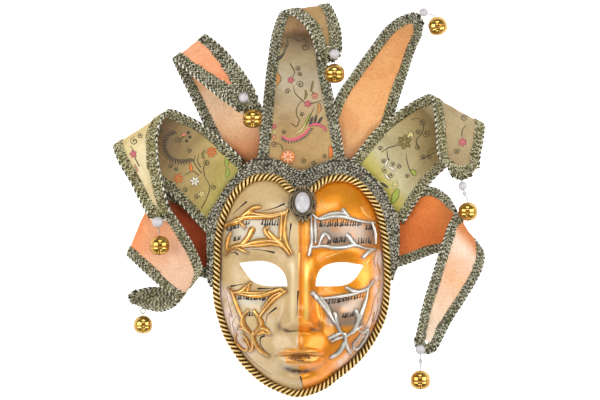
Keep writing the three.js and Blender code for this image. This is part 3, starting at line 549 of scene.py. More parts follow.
def add_loft(heap, sections, looped=False, step=(1.0, 1.0), slot=0, **values):
    """A closed body through sections of corners, with flat or pointed ends"""
    sections = np.asarray(sections, float)
    rows, columns = sections.shape[:2]
    quads, spots = skin(rows, columns, True, looped)
    corners = sections.reshape(-1, 3)
    triangles = np.zeros((0, 3), int)
    if not looped:
        ends = [sections[0].mean(0), sections[-1].mean(0)]
        corners = np.vstack([corners, ends])
        j = np.arange(columns)
        k = (j + 1) % columns
        base = (rows - 1) * columns
        triangles = np.vstack([
            np.stack([k, j, np.full(columns, rows * columns)], 1),
            np.stack([base + j, base + k, np.full(columns, rows * columns + 1)], 1),
        ])
    flat = {}
    for key, value in values.items():
        value = np.array(value, float)
        if value.shape == (rows, columns):
            value = value.reshape(-1)
            if not looped:
                value = np.concatenate([value, [value[0], value[-1]]])
        flat[key] = value
    probe = sections[0, 0] - sections[0].mean(0)
    beside = np.cross(sections[1].mean(0) - sections[0].mean(0), probe)
    if np.dot(beside, sections[0, 1] - sections[0, 0]) < 0:
        quads, spots = quads[:, ::-1], spots[:, ::-1]
        triangles = triangles[:, ::-1]
    heap.add(corners, quads, triangles, quad_map=spots * np.array(step), slot=slot, **flat)


# Round ends of a stroke: how far out each section goes and how wide it is, as shares
CAP_REACH = np.array([[1.0], [0.8], [0.45]])
CAP_WIDE = np.array([0.06, 0.6, 0.9])
# How its crest follows its width, and how full its section is
CREST_POWER = 0.6
SECTION_POWER = 0.8


def add_stroke(heap, surface, path, halves, rise, sink=0.35, spacing=1.0, sides=7, **values):
    """A raised stroke with round ends, laid on a surface along a path seen from the front"""
    dense = curve(path, np.linspace(0, 1, 8 * len(path)))
    run = evenly(dense, min(spacing, 0.3 * lengths(dense[-1] - dense[0])[0] + 0.2))
    share = np.linspace(0, 1, len(run))
    start, middle, end = halves
    half = np.where(
        share < 0.5, start + (middle - start) * smoothstep(share, 0, 0.5),
        middle + (end - middle) * smoothstep(share, 0.5, 1),
    )
    along = unit(np.gradient(run, axis=0))
    run = np.vstack([run[0] - along[0] * half[0] * CAP_REACH, run,
                     run[-1] + along[-1] * half[-1] * CAP_REACH[::-1]])
    along = np.pad(along, ((len(CAP_WIDE),) * 2, (0, 0)), "edge")
    half = np.concatenate([half[0] * CAP_WIDE, half, half[-1] * CAP_WIDE[::-1]])
    side = np.stack([along[:, 1], -along[:, 0]], 1)
    turn = np.linspace(0, math.pi, sides)
    offset = np.cos(turn)
    spots = run[:, None] + side[:, None] * (half[:, None] * offset)[..., None]
    places, normals = surface(spots)
    crest = rise * (half / max(half.max(), 1e-6)) ** CREST_POWER
    top = places + normals * (crest[:, None] * np.sin(turn) ** SECTION_POWER)[..., None]
    middle_places, middle_normals = surface(run[:, None])
    below = middle_places - middle_normals * sink
    sunk = places - normals * sink
    sections = np.concatenate([sunk[:, :1], top, sunk[:, -1:], below], 1)
    zero = np.zeros((len(run), 1))
    # How far round each corner is from the stroke's edge, which the metal leaf uses for its painted highlight
    # and shade
    height = np.concatenate([zero, np.sin(turn)[None] + zero, zero, zero], 1)
    add_loft(heap, sections, height=height, **values)


def add_tube(heap, path, radii, sides=10, looped=False, up=(0, 0, 1), **values):
    """A round bar along a path"""
    path = np.asarray(path, float)
    radii = np.broadcast_to(radii, (len(path),))
    if looped:
        along = unit(np.roll(path, -1, 0) - np.roll(path, 1, 0))
    else:
        along = unit(np.gradient(path, axis=0))
    side = unit(np.cross(along, np.asarray(up, float)) + 1e-9)
    lift = np.cross(side, along)
    turn = angles_round(sides)
    sections = path[:, None] + radii[:, None, None] * swing(side[:, None], lift[:, None], turn)
    add_loft(heap, sections, looped, step=(1 / sides, 1.0), **values)


# Shader helpers: nodes by their kind, filled with values or links
def node(tree, kind, inputs=None, **settings):
    made = tree.nodes.new("ShaderNode" + kind)
    for key, value in settings.items():
        setattr(made, key, value)
    for key, value in (inputs or {}).items():
        if isinstance(value, bpy.types.NodeSocket):
            tree.links.new(value, made.inputs[key])
        else:
            made.inputs[key].default_value = value
    return made


def calculate(tree, operation, *values):
    return node(tree, "Math", dict(enumerate(values)), operation=operation).outputs[0]


def times(tree, first, second):
    return calculate(tree, "MULTIPLY", first, second)


def scaled(tree, value, factor, added):
    return calculate(tree, "MULTIPLY_ADD", value, factor, added)


def mix(tree, factor, first, second, way="MIX"):
    made = node(tree, "Mix", {0: factor, 6: first, 7: second}, data_type="RGBA", blend_type=way)
    return made.outputs[2]


def multiplied(tree, first, second):
    return mix(tree, 1.0, first, second, "MULTIPLY")


def between(tree, value, low, high, to_low=0.0, to_high=1.0):
    inputs = {"Value": value, "From Min": low, "From Max": high, "To Min": to_low, "To Max": to_high}
    return node(tree, "MapRange", inputs, interpolation_type="SMOOTHSTEP").outputs[0]


def noise(tree, place, scale, detail=3.0, roughness=0.55, distortion=0.0):
    inputs = {"Vector": place, "Scale": scale, "Detail": detail, "Roughness": roughness,
              "Distortion": distortion}
    return node(tree, "TexNoise", inputs).outputs[0]


def here(tree):
    return node(tree, "TexCoord").outputs["Object"]


def value_of(tree, name):
    return node(tree, "Attribute", attribute_name=name).outputs["Fac"]


def colour_of(tree, name):
    return node(tree, "Attribute", attribute_name=name).outputs["Color"]


def run_of(tree):
    return node(tree, "UVMap", uv_map="run").outputs[0]


def bumped(tree, height, strength, distance):
    inputs = {"Height": height, "Strength": strength, "Distance": distance}
    return node(tree, "Bump", inputs).outputs["Normal"]


def ramp(tree, value, stops):
    made = node(tree, "ValToRGB", {0: value})
    while len(made.color_ramp.elements) < len(stops):
        made.color_ramp.elements.new(0.5)
    for element, (place, colour) in zip(made.color_ramp.elements, stops):
        element.position = place
        element.color = colour
    return made.outputs[0]


def finish_of(name, build, **plain):
    """A material whose surface is one shader: plain values on its sockets, links from build"""
    material = bpy.data.materials.new(name)
    material.use_nodes = True
    tree = material.node_tree
    surface = tree.nodes["Principled BSDF"]
    for key, value in plain.items():
        surface.inputs[key.replace("_", " ")].default_value = value
    for key, link in build(tree).items():
        tree.links.new(link, surface.inputs[key])
    return material


def effect(name, inputs, outputs, build):
    """A shader group with named inputs and outputs, built once"""
    group = bpy.data.node_groups.new(name, "ShaderNodeTree")
    for key, (kind, value) in inputs.items():
        socket = group.interface.new_socket(key, in_out="INPUT", socket_type="NodeSocket" + kind)
        if value is not None:
            socket.default_value = value
    for key, kind in outputs.items():
        group.interface.new_socket(key, in_out="OUTPUT", socket_type="NodeSocket" + kind)
    start = group.nodes.new("NodeGroupInput")
    end = group.nodes.new("NodeGroupOutput")
    for key, link in build(group, start.outputs).items():
        group.links.new(link, end.inputs[key])
    return group


def use(tree, group, **inputs):
    made = tree.nodes.new("ShaderNodeGroup")
    made.node_tree = group
    for key, value in inputs.items():
        key = key.replace("_", " ")
        if isinstance(value, bpy.types.NodeSocket):
            tree.links.new(value, made.inputs[key])
        else:
            made.inputs[key].default_value = value
    return made.outputs


def build_mottle(group, given):
    """Two colours in soft clouds with a finer grain over them"""
    cloud = noise(group, given["Place"], given["Scale"], 4.0)
    fine = times(group, given["Scale"], 9.0)
    grain = noise(group, given["Place"], fine, 2.0)
    both = scaled(group, grain, 0.35, times(group, cloud, 0.8))
    spread = between(group, both, 0.36, 0.78)
    return {"Colour": mix(group, spread, given["First"], given["Second"]), "Grain": both}


MOTTLE = effect(
    "mottle",
    {"Place": ("Vector", None), "Scale": ("Float", 60.0), "First": ("Color", (1, 1, 1, 1)),
     "Second": ("Color", (0, 0, 0, 1))},
    {"Colour": "Color", "Grain": "Float"}, build_mottle,
)


def mottled(tree, scale, first, second):
    return use(tree, MOTTLE, Place=here(tree), Scale=scale, First=first, Second=second)


def build_glaze_and_shade(group, given):
    """Brown glaze and painted shade in hollows, broken up by noise"""
    broken = noise(group, given["Place"], 220.0, 4.0, 0.7)
    amount = times(group, given["Hollow"], between(group, broken, 0.25, 0.6, 0.55, 1.25))
    mask = calculate(group, "MINIMUM", amount, 1.0)
    return {"Colour": mix(group, mask, given["Colour"], given["Glaze"]), "Mask": mask}


GLAZE_SHADE_EFFECT = effect(
    "glaze and painted shade",
    {"Place": ("Vector", None), "Hollow": ("Float", 0.0), "Colour": ("Color", (1, 1, 1, 1)),
     "Glaze": ("Color", paint(70, 35, 12))},
    {"Colour": "Color", "Mask": "Float"}, build_glaze_and_shade,
)


def build_yarn(group, given):
    """Fine slanting plies along a yarn, from its run and turn"""
    parts = node(group, "SeparateXYZ", {0: given["Map"]}).outputs
    phase = scaled(group, parts[0], given["Turns"], times(group, parts[1], given["Plies"]))
    wave = calculate(group, "SINE", times(group, phase, 2 * math.pi))
    return {"Ridge": scaled(group, wave, 0.5, 0.5)}


YARN = effect(
    "yarn plies",
    {"Map": ("Vector", None), "Turns": ("Float", 3.0), "Plies": ("Float", 0.5)},
    {"Ridge": "Float"}, build_yarn,
)


def face_paint(tree):
    place = here(tree)
    gold_side = between(tree, value_of(tree, "gold_side"), -0.3, 0.3)
    cream = mottled(tree, 28.0, paint(212, 183, 132), paint(190, 159, 108))
    gold = mottled(tree, 24.0, paint(252, 166, 30), paint(232, 134, 8))
    colour = mix(tree, gold_side, cream["Colour"], gold["Colour"])
    # Painted highlight: two pale stripes along the nose, cream on the cream half and pale gold on the gold
    # half; below zero, a darker orange brown strip on the gold side of the split
    nose_highlight_and_strip = value_of(tree, "nose_highlight_and_strip")
    painted_highlight_colour = mix(tree, gold_side, paint(238, 218, 172), paint(255, 224, 118))
    colour = mix(tree, between(tree, nose_highlight_and_strip, 0, 1, 0, 0.8), colour, painted_highlight_colour)
    colour = mix(tree, between(tree, nose_highlight_and_strip, 0, -1, 0, 0.7), colour, paint(176, 96, 18))
    broken = noise(tree, place, 90.0, 5.0, 0.65)
    wash = times(tree, value_of(tree, "pearl_wash"), between(tree, broken, 0.3, 0.6))
    colour = mix(tree, wash, colour, paint(232, 205, 190))
    panel = times(tree, value_of(tree, "panel"), between(tree, broken, 0.25, 0.55, 0.6, 1.0))
    pale = mix(tree, gold_side, paint(196, 184, 160), paint(164, 142, 122))
    colour = mix(tree, panel, colour, pale)
    lips = between(tree, value_of(tree, "lips"), -0.4, 0.5)
    colour = mix(tree, lips, colour, paint(214, 146, 54))
    crackle = node(tree, "TexVoronoi", {"Vector": place, "Scale": 420.0}, feature="DISTANCE_TO_EDGE")
    cracks = between(tree, crackle.outputs[0], 0.02, 0.16)
    split = times(tree, value_of(tree, "crackle"), cracks)
    colour = mix(tree, split, colour, paint(92, 52, 22))
    # Brown glaze and painted shade at the rim, beside the piping, in creases, under the lip and around the
    # nose
    glazed_and_shaded = use(tree, GLAZE_SHADE_EFFECT, Place=place, Hollow=value_of(tree, "antique"), Colour=colour)
    # Painted shade in the mouth line and the nostrils
    dark = between(tree, value_of(tree, "dark"), 0.35, 0.9)
    colour = mix(tree, dark, glazed_and_shaded["Colour"], paint(84, 40, 20))
    gilt = calculate(tree, "MAXIMUM", gold_side, times(tree, lips, 0.5))
    covered = calculate(tree, "SUBTRACT", 1.0, calculate(tree, "MAXIMUM", wash, glazed_and_shaded["Mask"]))
    metal = times(tree, times(tree, gilt, covered), 0.68)
    sheen = calculate(tree, "MAXIMUM", metal, times(tree, panel, 0.12))
    rough = scaled(tree, gold["Grain"], 0.16, between(tree, gilt, 0, 1, 0.36, 0.31))
    fine = noise(tree, place, 1500.0, 2.0)
    height = scaled(tree, fine, 0.25, cream["Grain"])
    return {
        "Base Color": colour, "Metallic": sheen, "Roughness": rough,
        "Normal": bumped(tree, height, 0.25, 0.0004),
    }


def raw_papier_mache(tree):
    place = here(tree)
    pulp = mottled(tree, 55.0, paint(206, 190, 160), paint(166, 146, 112))
    fibres = noise(tree, place, 700.0, 5.0, 0.7, 1.5)
    height = scaled(tree, fibres, 0.6, pulp["Grain"])
    return {"Base Color": pulp["Colour"], "Normal": bumped(tree, height, 0.6, 0.0008)}


def leafed(light, deep, glaze, bright):
    """Metal leaf over piping, with a painted highlight on its crest and brown glaze with painted shade along
    its foot
    """
    def build(tree):
        place = here(tree)
        leaf = mottled(tree, 120.0, light, deep)
        foot = between(tree, value_of(tree, "height"), 0.88, 0.2)
        crest = between(tree, value_of(tree, "height"), 0.8, 1.0, 0.0, 0.5)
        lit = mix(tree, crest, leaf["Colour"], bright)
        glazed_and_shaded = use(tree, GLAZE_SHADE_EFFECT, Place=place, Hollow=foot, Colour=lit, Glaze=glaze)
        metal = scaled(tree, glazed_and_shaded["Mask"], -0.6, 0.8)
        rough = scaled(tree, leaf["Grain"], 0.25, 0.16)
        height = noise(tree, place, 500.0, 3.0)
        return {"Base Color": glazed_and_shaded["Colour"], "Metallic": metal, "Roughness": rough,
                "Normal": bumped(tree, height, 0.35, 0.0005)}
    return build


def enamel(light, deep):
    def build(tree):
        spots = mottled(tree, 300.0, light, deep)
        return {"Base Color": spots["Colour"]}
    return build


def gold_yarn(tree):
    """Twisted yarn, with painted shade in olive brown between its strands and its plies, and a painted
    highlight in pale gold on top
    """
    ply = use(tree, YARN, Map=run_of(tree), Turns=6.0, Plies=0.9)["Ridge"]
    tint = mottled(tree, 90.0, paint(210, 154, 62), paint(176, 114, 38))
    fine = mix(tree, between(tree, ply, 0.0, 0.5, 0.3, 0.0), tint["Colour"], paint(120, 80, 26))
    height = value_of(tree, "height")
    shaded = mix(tree, between(tree, height, 0.12, 0.75), paint(56, 38, 12), fine)
    shaded = mix(tree, between(tree, height, 0.78, 1.0, 0.0, 0.75), shaded, paint(255, 238, 166))
    return {"Base Color": shaded, "Normal": bumped(tree, ply, 0.5, 0.0004)}


TONE_STOPS = (0.0, 0.3, 0.55, 0.78, 1.0)


def metallic_threads(silver, gilt):
    """Plait threads from dark to bright, silvery or more golden"""
    def build(tree):
        tone = value_of(tree, "tone")
        cold, warm = (
            ramp(tree, tone, [(place, paint(*colour)) for place, colour in zip(TONE_STOPS, row)])
            for row in (silver, gilt)
        )
        shade = mix(tree, value_of(tree, "warm"), cold, warm)
        thread = use(tree, YARN, Map=run_of(tree), Turns=5.0, Plies=0.7)["Ridge"]
        # Painted shade between the plies of each thread
        shaded = mix(tree, between(tree, thread, 0.0, 0.5, 0.25, 0.0), shade, paint(14, 14, 12))
        return {"Base Color": shaded, "Normal": bumped(tree, thread, 0.5, 0.0003)}
    return build


def braid_shade_ground(tree):
    weave = mottled(tree, 700.0, paint(84, 84, 72), paint(24, 24, 22))
    return {"Base Color": weave["Colour"], "Normal": bumped(tree, weave["Grain"], 0.7, 0.0006)}


def velvet(tree):
    """Short nap in the dyed colour with its painted shade, lighter and darker where it is brushed"""
    place = here(tree)
    dye = colour_of(tree, "dye")
    brushed = noise(tree, place, 38.0, 4.0, 0.6, 0.6)
    colour = mix(tree, between(tree, brushed, 0.35, 0.7, 0.0, 0.35), dye, multiplied(tree, dye, dye))
    specks = noise(tree, place, 560.0, 3.0, 0.7)
    pale = multiplied(tree, colour, (1.35, 1.4, 1.45, 1))
    colour = mix(tree, between(tree, specks, 0.5, 0.72, 0.0, 0.5), colour, pale)
    deep = multiplied(tree, colour, (0.6, 0.5, 0.42, 1))
    colour = mix(tree, between(tree, specks, 0.48, 0.28, 0.0, 0.5), colour, deep)
    nap = noise(tree, place, 1800.0, 3.0, 0.7)
    return {"Base Color": colour, "Normal": bumped(tree, nap, 0.6, 0.0006)}


def brocade(tree):
    """Satin in the dyed colour with its painted shade, and tone on tone scrolls woven in"""
    place = here(tree)
    dye = colour_of(tree, "dye")
    cloud = noise(tree, place, 26.0, 3.0, 0.5, 0.8)
    satin = mix(tree, between(tree, cloud, 0.35, 0.7, 0.0, 0.4), dye, multiplied(tree, dye, dye))
    bands = node(tree, "TexWave", {
        "Vector": place, "Scale": 40.0, "Distortion": 14.0, "Detail": 1.5, "Detail Scale": 2.4,
    }, wave_type="RINGS", rings_direction="Z").outputs[1]
    scroll = between(tree, bands, 0.66, 0.8)
    figure = multiplied(tree, satin, paint(206, 196, 150))
    colour = mix(tree, times(tree, scroll, 0.16), satin, figure)
    parts = node(tree, "SeparateXYZ", {0: run_of(tree)}).outputs
    warp = calculate(tree, "SINE", times(tree, parts[0], 2200.0))
    weft = calculate(tree, "SINE", times(tree, parts[1], 2200.0))
    weave = times(tree, warp, weft)
    height = scaled(tree, scroll, 0.8, times(tree, weave, 0.2))
    rough = between(tree, scroll, 0, 1, 0.34, 0.6)
    return {"Base Color": colour, "Roughness": rough, "Normal": bumped(tree, height, 0.3, 0.0003)}


def silk_threads(tree):
    colour = colour_of(tree, "thread")
    stitch = noise(tree, here(tree), 1400.0, 2.0)
    varied = mix(tree, between(tree, stitch, 0.35, 0.7, 0.0, 0.35), colour, paint(60, 44, 28))
    return {"Base Color": varied, "Normal": bumped(tree, stitch, 0.7, 0.0003)}


def antique_bronze(tree):
    metal = mottled(tree, 260.0, paint(92, 80, 64), paint(44, 37, 30))
    # Lighter on the top of each bar: wear, and a painted highlight
    worn_and_highlit = between(tree, value_of(tree, "height"), 0.7, 1.0)
    colour = mix(tree, worn_and_highlit, metal["Colour"], paint(150, 134, 108))
    return {"Base Color": colour, "Roughness": between(tree, worn_and_highlit, 0, 1, 0.5, 0.3),
            "Normal": bumped(tree, metal["Grain"], 0.4, 0.0004)}


def pearl_lustre(tree):
    tint = mottled(tree, 180.0, paint(200, 198, 199), paint(188, 182, 186))
    return {"Base Color": tint["Colour"], "Normal": bumped(tree, tint["Grain"], 0.08, 0.0003)}


def polished_brass(tree):
    place = here(tree)
    tint = mottled(tree, 90.0, paint(222, 184, 104), paint(186, 140, 62))
    scratches = noise(tree, place, 900.0, 4.0, 0.6, 2.0)
    rough = between(tree, scratches, 0.4, 0.8, 0.1, 0.26)
    return {"Base Color": tint["Colour"], "Roughness": rough,
            "Normal": bumped(tree, scratches, 0.06, 0.0003)}


def bright_wire(tree):
    drawn = noise(tree, here(tree), 1200.0, 3.0)
    return {"Roughness": between(tree, drawn, 0.3, 0.7, 0.16, 0.34),
            "Normal": bumped(tree, drawn, 0.15, 0.0002)}


FACE_PAINT = finish_of("face paint", face_paint, Coat_Weight=0.6, Coat_Roughness=0.16)
RAW_FACE = finish_of("raw papier-mache", raw_papier_mache, Roughness=0.9)
# Leaf colours: light and deep tones, the brown of the painted shade at the foot and the pale painted
# highlight on the crest
GOLD_LEAF = finish_of("gold leaf piping", leafed(
    paint(238, 176, 74), paint(196, 122, 38), paint(104, 52, 14), paint(255, 238, 176)))
SILVER_LEAF = finish_of("silver leaf piping", leafed(
    paint(228, 224, 214), paint(188, 180, 166), paint(66, 50, 34), paint(255, 254, 250)))
DARK_ENAMEL = finish_of("dark enamel", enamel(paint(34, 22, 14), paint(20, 14, 10)), Roughness=0.3)
PALE_ENAMEL = finish_of("pale gold enamel", enamel(paint(255, 208, 130), paint(246, 186, 92)),
                        Roughness=0.25, Metallic=0.4)
# Painted shade on the last bit of the face's rim, where it meets the cord
RIM_SHADE = finish_of("rim shade", enamel(paint(160, 112, 62), paint(118, 78, 40)), Roughness=0.85)
GREY_ENAMEL = finish_of("thin grey line", enamel(paint(150, 118, 104), paint(116, 88, 78)), Roughness=0.4)
GOLD_YARN = finish_of("gold yarn", gold_yarn, Metallic=0.55, Roughness=0.36)
GILT_THREADS = ((78, 70, 34), (138, 126, 70), (188, 174, 112), (224, 212, 156), (252, 246, 206))
BRAID_THREADS = finish_of("braid threads", metallic_threads(
    ((50, 48, 36), (104, 102, 78), (156, 153, 122), (208, 205, 174), (252, 250, 232)), GILT_THREADS,
), Metallic=0.45, Roughness=0.34)
HOOD_THREADS = finish_of("hood threads", metallic_threads(
    ((42, 38, 32), (108, 101, 86), (164, 156, 134), (218, 211, 190), (255, 252, 240)), GILT_THREADS,
), Metallic=0.45, Roughness=0.34)
VELVET = finish_of("velvet", velvet, Roughness=0.85, Sheen_Weight=0.35, Sheen_Roughness=0.4)
BROCADE = finish_of("brocade", brocade, Sheen_Weight=0.15)
BRAID_SHADE_GROUND = finish_of("braid shade ground", braid_shade_ground, Metallic=0.3, Roughness=0.6)
SILK = finish_of("silk threads", silk_threads, Roughness=0.45, Sheen_Weight=0.3)
BRONZE = finish_of("antique bronze", antique_bronze, Metallic=0.85)
PEARL = finish_of("pearl lustre", pearl_lustre, Roughness=0.3, Coat_Weight=0.6, Coat_Roughness=0.12)
BRASS = finish_of("polished brass", polished_brass, Metallic=1.0)
WIRE = finish_of("bright wire", bright_wire, Base_Color=paint(176, 172, 164), Metallic=1.0)


def eye_line(points):
    """The smooth edge of an eye hole, with its two corners kept sharp"""
    over = curve(points[: INNER_CORNER + 1], np.linspace(0, 1, 90))
    back = curve(points[INNER_CORNER:] + points[:1], np.linspace(0, 1, 70))
    return np.vstack([over, back[1:-1]])


def outline_gap(places, outline):
    """Distance from a closed outline, below zero inside it, and the nearest place on it"""
    ahead = np.roll(outline, -1, 0)
    step = ahead - outline
    offset = places[:, None] - outline[None]
    share = np.clip((offset * step).sum(2) / (step**2).sum(1), 0, 1)
    near = outline + share[..., None] * step
    gaps = lengths(places[:, None] - near)[..., 0]
    best = gaps.argmin(1)
    rows = np.arange(len(places))
    x, y = places[:, :1], places[:, 1:]
    spans = (outline[:, 1] > y) != (ahead[:, 1] > y)
    rise = np.where(np.abs(step[:, 1]) < 1e-9, 1e-9, step[:, 1])
    crossing = outline[:, 0] + (y - outline[:, 1]) * step[:, 0] / rise
    inside = (spans & (x < crossing)).sum(1) % 2 == 1
    return np.where(inside, -1, 1) * gaps[rows, best], near[rows, best]


FACE_SPOKES = 320
FACE_RINGS = 108
MEAN_RADIUS = 88
WALL_BLEND = (0.84, 0.95)
RIM_SHADE_FROM = 0.984


def face_grid():
    """Flat places of the face's rings, closer together where the dome is steep"""
    shares = np.linspace(0, 1, 2000)
    heights = DOME_HEIGHT * (1 - shares**DOME_FLATNESS) ** DOME_EDGE
    run = np.concatenate([[0], np.cumsum(np.hypot(np.diff(shares) * MEAN_RADIUS, np.diff(heights)))])
    rings = np.interp(np.linspace(0, run[-1], FACE_RINGS + 1)[1:], run, shares)
    angles = (np.arange(FACE_SPOKES) + 0.5) / FACE_SPOKES * 2 * math.pi - math.pi
    rims = rim_radius(angles)
    return rings, angles, rims, at_angle(angles[None], rings[:, None] * rims[None])


def cut_eyes(flat):
    """Moves grid places near an eye's edge onto it, and marks each place in, on or out"""
    rows, columns = flat.shape[:2]
    places = flat.reshape(-1, 2).copy()
    state = np.ones(len(places), int)
    index = np.arange(rows * columns).reshape(rows, columns)
    pairs = np.vstack([
        np.stack([index[:-1].ravel(), index[1:].ravel()], 1),
        np.stack([index.ravel(), np.roll(index, -1, 1).ravel()], 1),
    ])
    for points in (LEFT_EYE, RIGHT_EYE):
        outline = eye_line(points)
        low, high = outline.min(0) - 3, outline.max(0) + 3
        close = np.where(((places > low) & (places < high)).all(1))[0]
        gaps, nearest = outline_gap(places[close], outline)
        gap = np.full(len(places), 99.0)
        gap[close] = gaps
        near = places.copy()
        near[close] = nearest
        crossing = pairs[(gap[pairs[:, 0]] < 0) != (gap[pairs[:, 1]] < 0)]
        chosen = np.where(
            np.abs(gap[crossing[:, 0]]) < np.abs(gap[crossing[:, 1]]), crossing[:, 0], crossing[:, 1]
        )
        chosen = np.unique(chosen)
        state[gap < 0] = -1
        places[chosen] = near[chosen]
        state[chosen] = 0
        for corner in (points[0], points[INNER_CORNER]):
            closest = chosen[lengths(places[chosen] - np.array(corner))[:, 0].argmin()]
            places[closest] = corner
    return places.reshape(rows, columns, 2), state


def cut_faces(quads, state):
    """Quads and triangles that lie outside the eye holes"""
    marks = state[quads]
    clear = (marks >= 0).all(1) & (marks > 0).any(1)
    mixed = (marks > 0).any(1) & (marks < 0).any(1)
    triangles = []
    for quad, mark in zip(quads[mixed], marks[mixed]):
        kept = [corner for corner, m in zip(quad, mark) if m >= 0]
        if len(kept) == 3:
            triangles.append(kept)
    return quads[clear], np.array(triangles, int).reshape(-1, 3)


def edge_pairs(quads, triangles):
    """Directed edges that belong to one face alone"""
    edges = [quads[:, [a, b]] for a, b in ((0, 1), (1, 2), (2, 3), (3, 0))]
    edges += [triangles[:, [a, b]] for a, b in ((0, 1), (1, 2), (2, 0))]
    edges = np.vstack(edges)
    limit = edges.max() + 1
    forward = edges[:, 0] * limit + edges[:, 1]
    backward = edges[:, 1] * limit + edges[:, 0]
    return edges[~np.isin(forward, backward)]


def box_mask(x, y, low, high, soft):
    """Full inside a box with soft edges"""
    inside = 1.0
    for value, start, end in zip((x, y), low, high):
        inside = inside * smoothstep(value, start - soft, start + soft)
        inside = inside * (1 - smoothstep(value, end - soft, end + soft))
    return inside


def nearest_gap(places, spots, at_once=4000):
    """Distance from each place to the nearest spot, worked out in blocks"""
    starts = range(at_once, len(places), at_once)
    gaps = [lengths(block[:, None] - spots[None])[..., 0].min(1) for block in np.split(places, starts)]
    return np.concatenate(gaps)


def split_line(y):
    """Where the cream half meets the gold half"""
    return -3.6 + 4.2 * smoothstep(-y, 162, 190)


PANELS = [
    ((-76, -37), (-24, -18)), ((-66, -104), (-32, -95)), ((15, -43), (73, -20)), ((24, -124), (62, -96)),
]
BEND_REACH = 2.5
# How much brown glaze and painted shade goes in each kind of place: painted shade at the rim, beside the
# piping, in creases, under the lip, in the philtrum and around the nose wings and nostrils
GLAZE_AND_SHADE_AMOUNTS = {
    "rim": 0.7, "beside piping": 0.42, "creases": 0.3, "under the lip": 1.0, "philtrum": 0.4,
    "nose wings": 0.45,
}


def face_fields(x, y):
    """Where each paint of the face goes, with its painted highlight and painted shade"""
    across = x - MIDLINE_LEAN * y
    steps = ((BEND_REACH, 0), (-BEND_REACH, 0), (0, BEND_REACH), (0, -BEND_REACH))
    around = sum(face_height(x + dx, y + dy) for dx, dy in steps)
    bend = (around - 4 * face_height(x, y)) / BEND_REACH**2
    share = rim_share(x, y)
    # Painted shade beside the raised piping
    piping = np.vstack([evenly(curve(path, np.linspace(0, 1, 40)), 1.2)
                        for *_, path in GOLD_PIPING + SILVER_PIPING])
    places = np.stack([x, y], 1)
    beside = hump(np.maximum(nearest_gap(places, piping) - 2.2, 0), 1.2)
    # Painted shadow under the lower lip, in a smile shape, deepest left of the middle
    smile = -170 + 10 * ((x + 1) / 27) ** 2
    under_lip = hump(y - smile, 2.4) * smoothstep(29 - np.abs(x + 1), 0, 18) * (0.4 + 0.7 * hump(x + 3, 12))
    under_lip += 0.5 * hump(x + 13, 3) * hump(y + 167, 2.5)
    # Painted shade in the philtrum groove
    philtrum = hump(x + 0.4, 2.4) * smoothstep(y, -150, -146) * smoothstep(-y, 130, 134)
    # Painted shade in creases where the face bends inwards, away from the nose
    creases = smoothstep(bend, 0.08, 0.32) * smoothstep(np.abs(across), 17, 24)
    # Painted shade around the nose wings and in the nostrils
    wings = 1.3 * hump(np.abs(across) - 20, 2.0) * hump(y + 124, 5) + 1.6 * nostrils(x, y)
    glaze_and_shade_masks = (smoothstep(share, 0.972, 0.99), beside, creases, under_lip, philtrum, wings)
    antique = sum(amount * mask for amount, mask in zip(GLAZE_AND_SHADE_AMOUNTS.values(), glaze_and_shade_masks))
    panel = np.max([box_mask(x, y, low, high, 3.0) for low, high in PANELS], axis=0)
    left = box_mask(x, y, (-99, -152), (0, -86), 8) * smoothstep(share, 0.8, 0.9)
    from_here = 0.86 - 0.04 * smoothstep(y, -150, -120)
    right = box_mask(x, y, (30, -166), (99, -46), 8) * smoothstep(share, from_here, 0.93)
    line = LIPS["line"]
    lower, upper = lip_edges(across)
    cream_corner = across + 13.5 + 30 * smoothstep(y, line - 1, line + 1)
    lips = np.min([y - lower, upper - y, (22 - np.abs(across)) * 0.6, cream_corner], axis=0)
    # Painted shade along the mouth line, which goes with the nostrils into the dark field
    mouth = hump(y - line, 0.8) * smoothstep(22 - np.abs(across), 0, 5) * 0.8
    crackle = smoothstep(1 - ((x + 2) / 12.5) ** 2 - ((y + 155) / 5.2) ** 2, 0, 0.35)
    # Painted highlight in two stripes along the bridge of the nose; below zero, a darker strip just on the
    # gold side of the split, from the nose tip up
    bridge = smoothstep(-y, 52, 66) * smoothstep(y, -124, -112)
    nose_highlight_and_strip = (hump(x - 4, 2.4) + 0.7 * hump(x + 9.5, 2.6)) * bridge
    nose_highlight_and_strip -= hump(x + 1.6, 2.0) * smoothstep(x, -3.8, -3) * smoothstep(y, -128, -112)
    return {
        "nose_highlight_and_strip": nose_highlight_and_strip, "gold_side": x - split_line(y), "antique": np.clip(antique, 0, 1), "panel": panel,
        "pearl_wash": np.clip(np.maximum(left, right), 0, 1), "lips": lips,
        "dark": np.clip(mouth + 0.85 * nostrils(x, y), 0, 1), "crackle": crackle,
    }


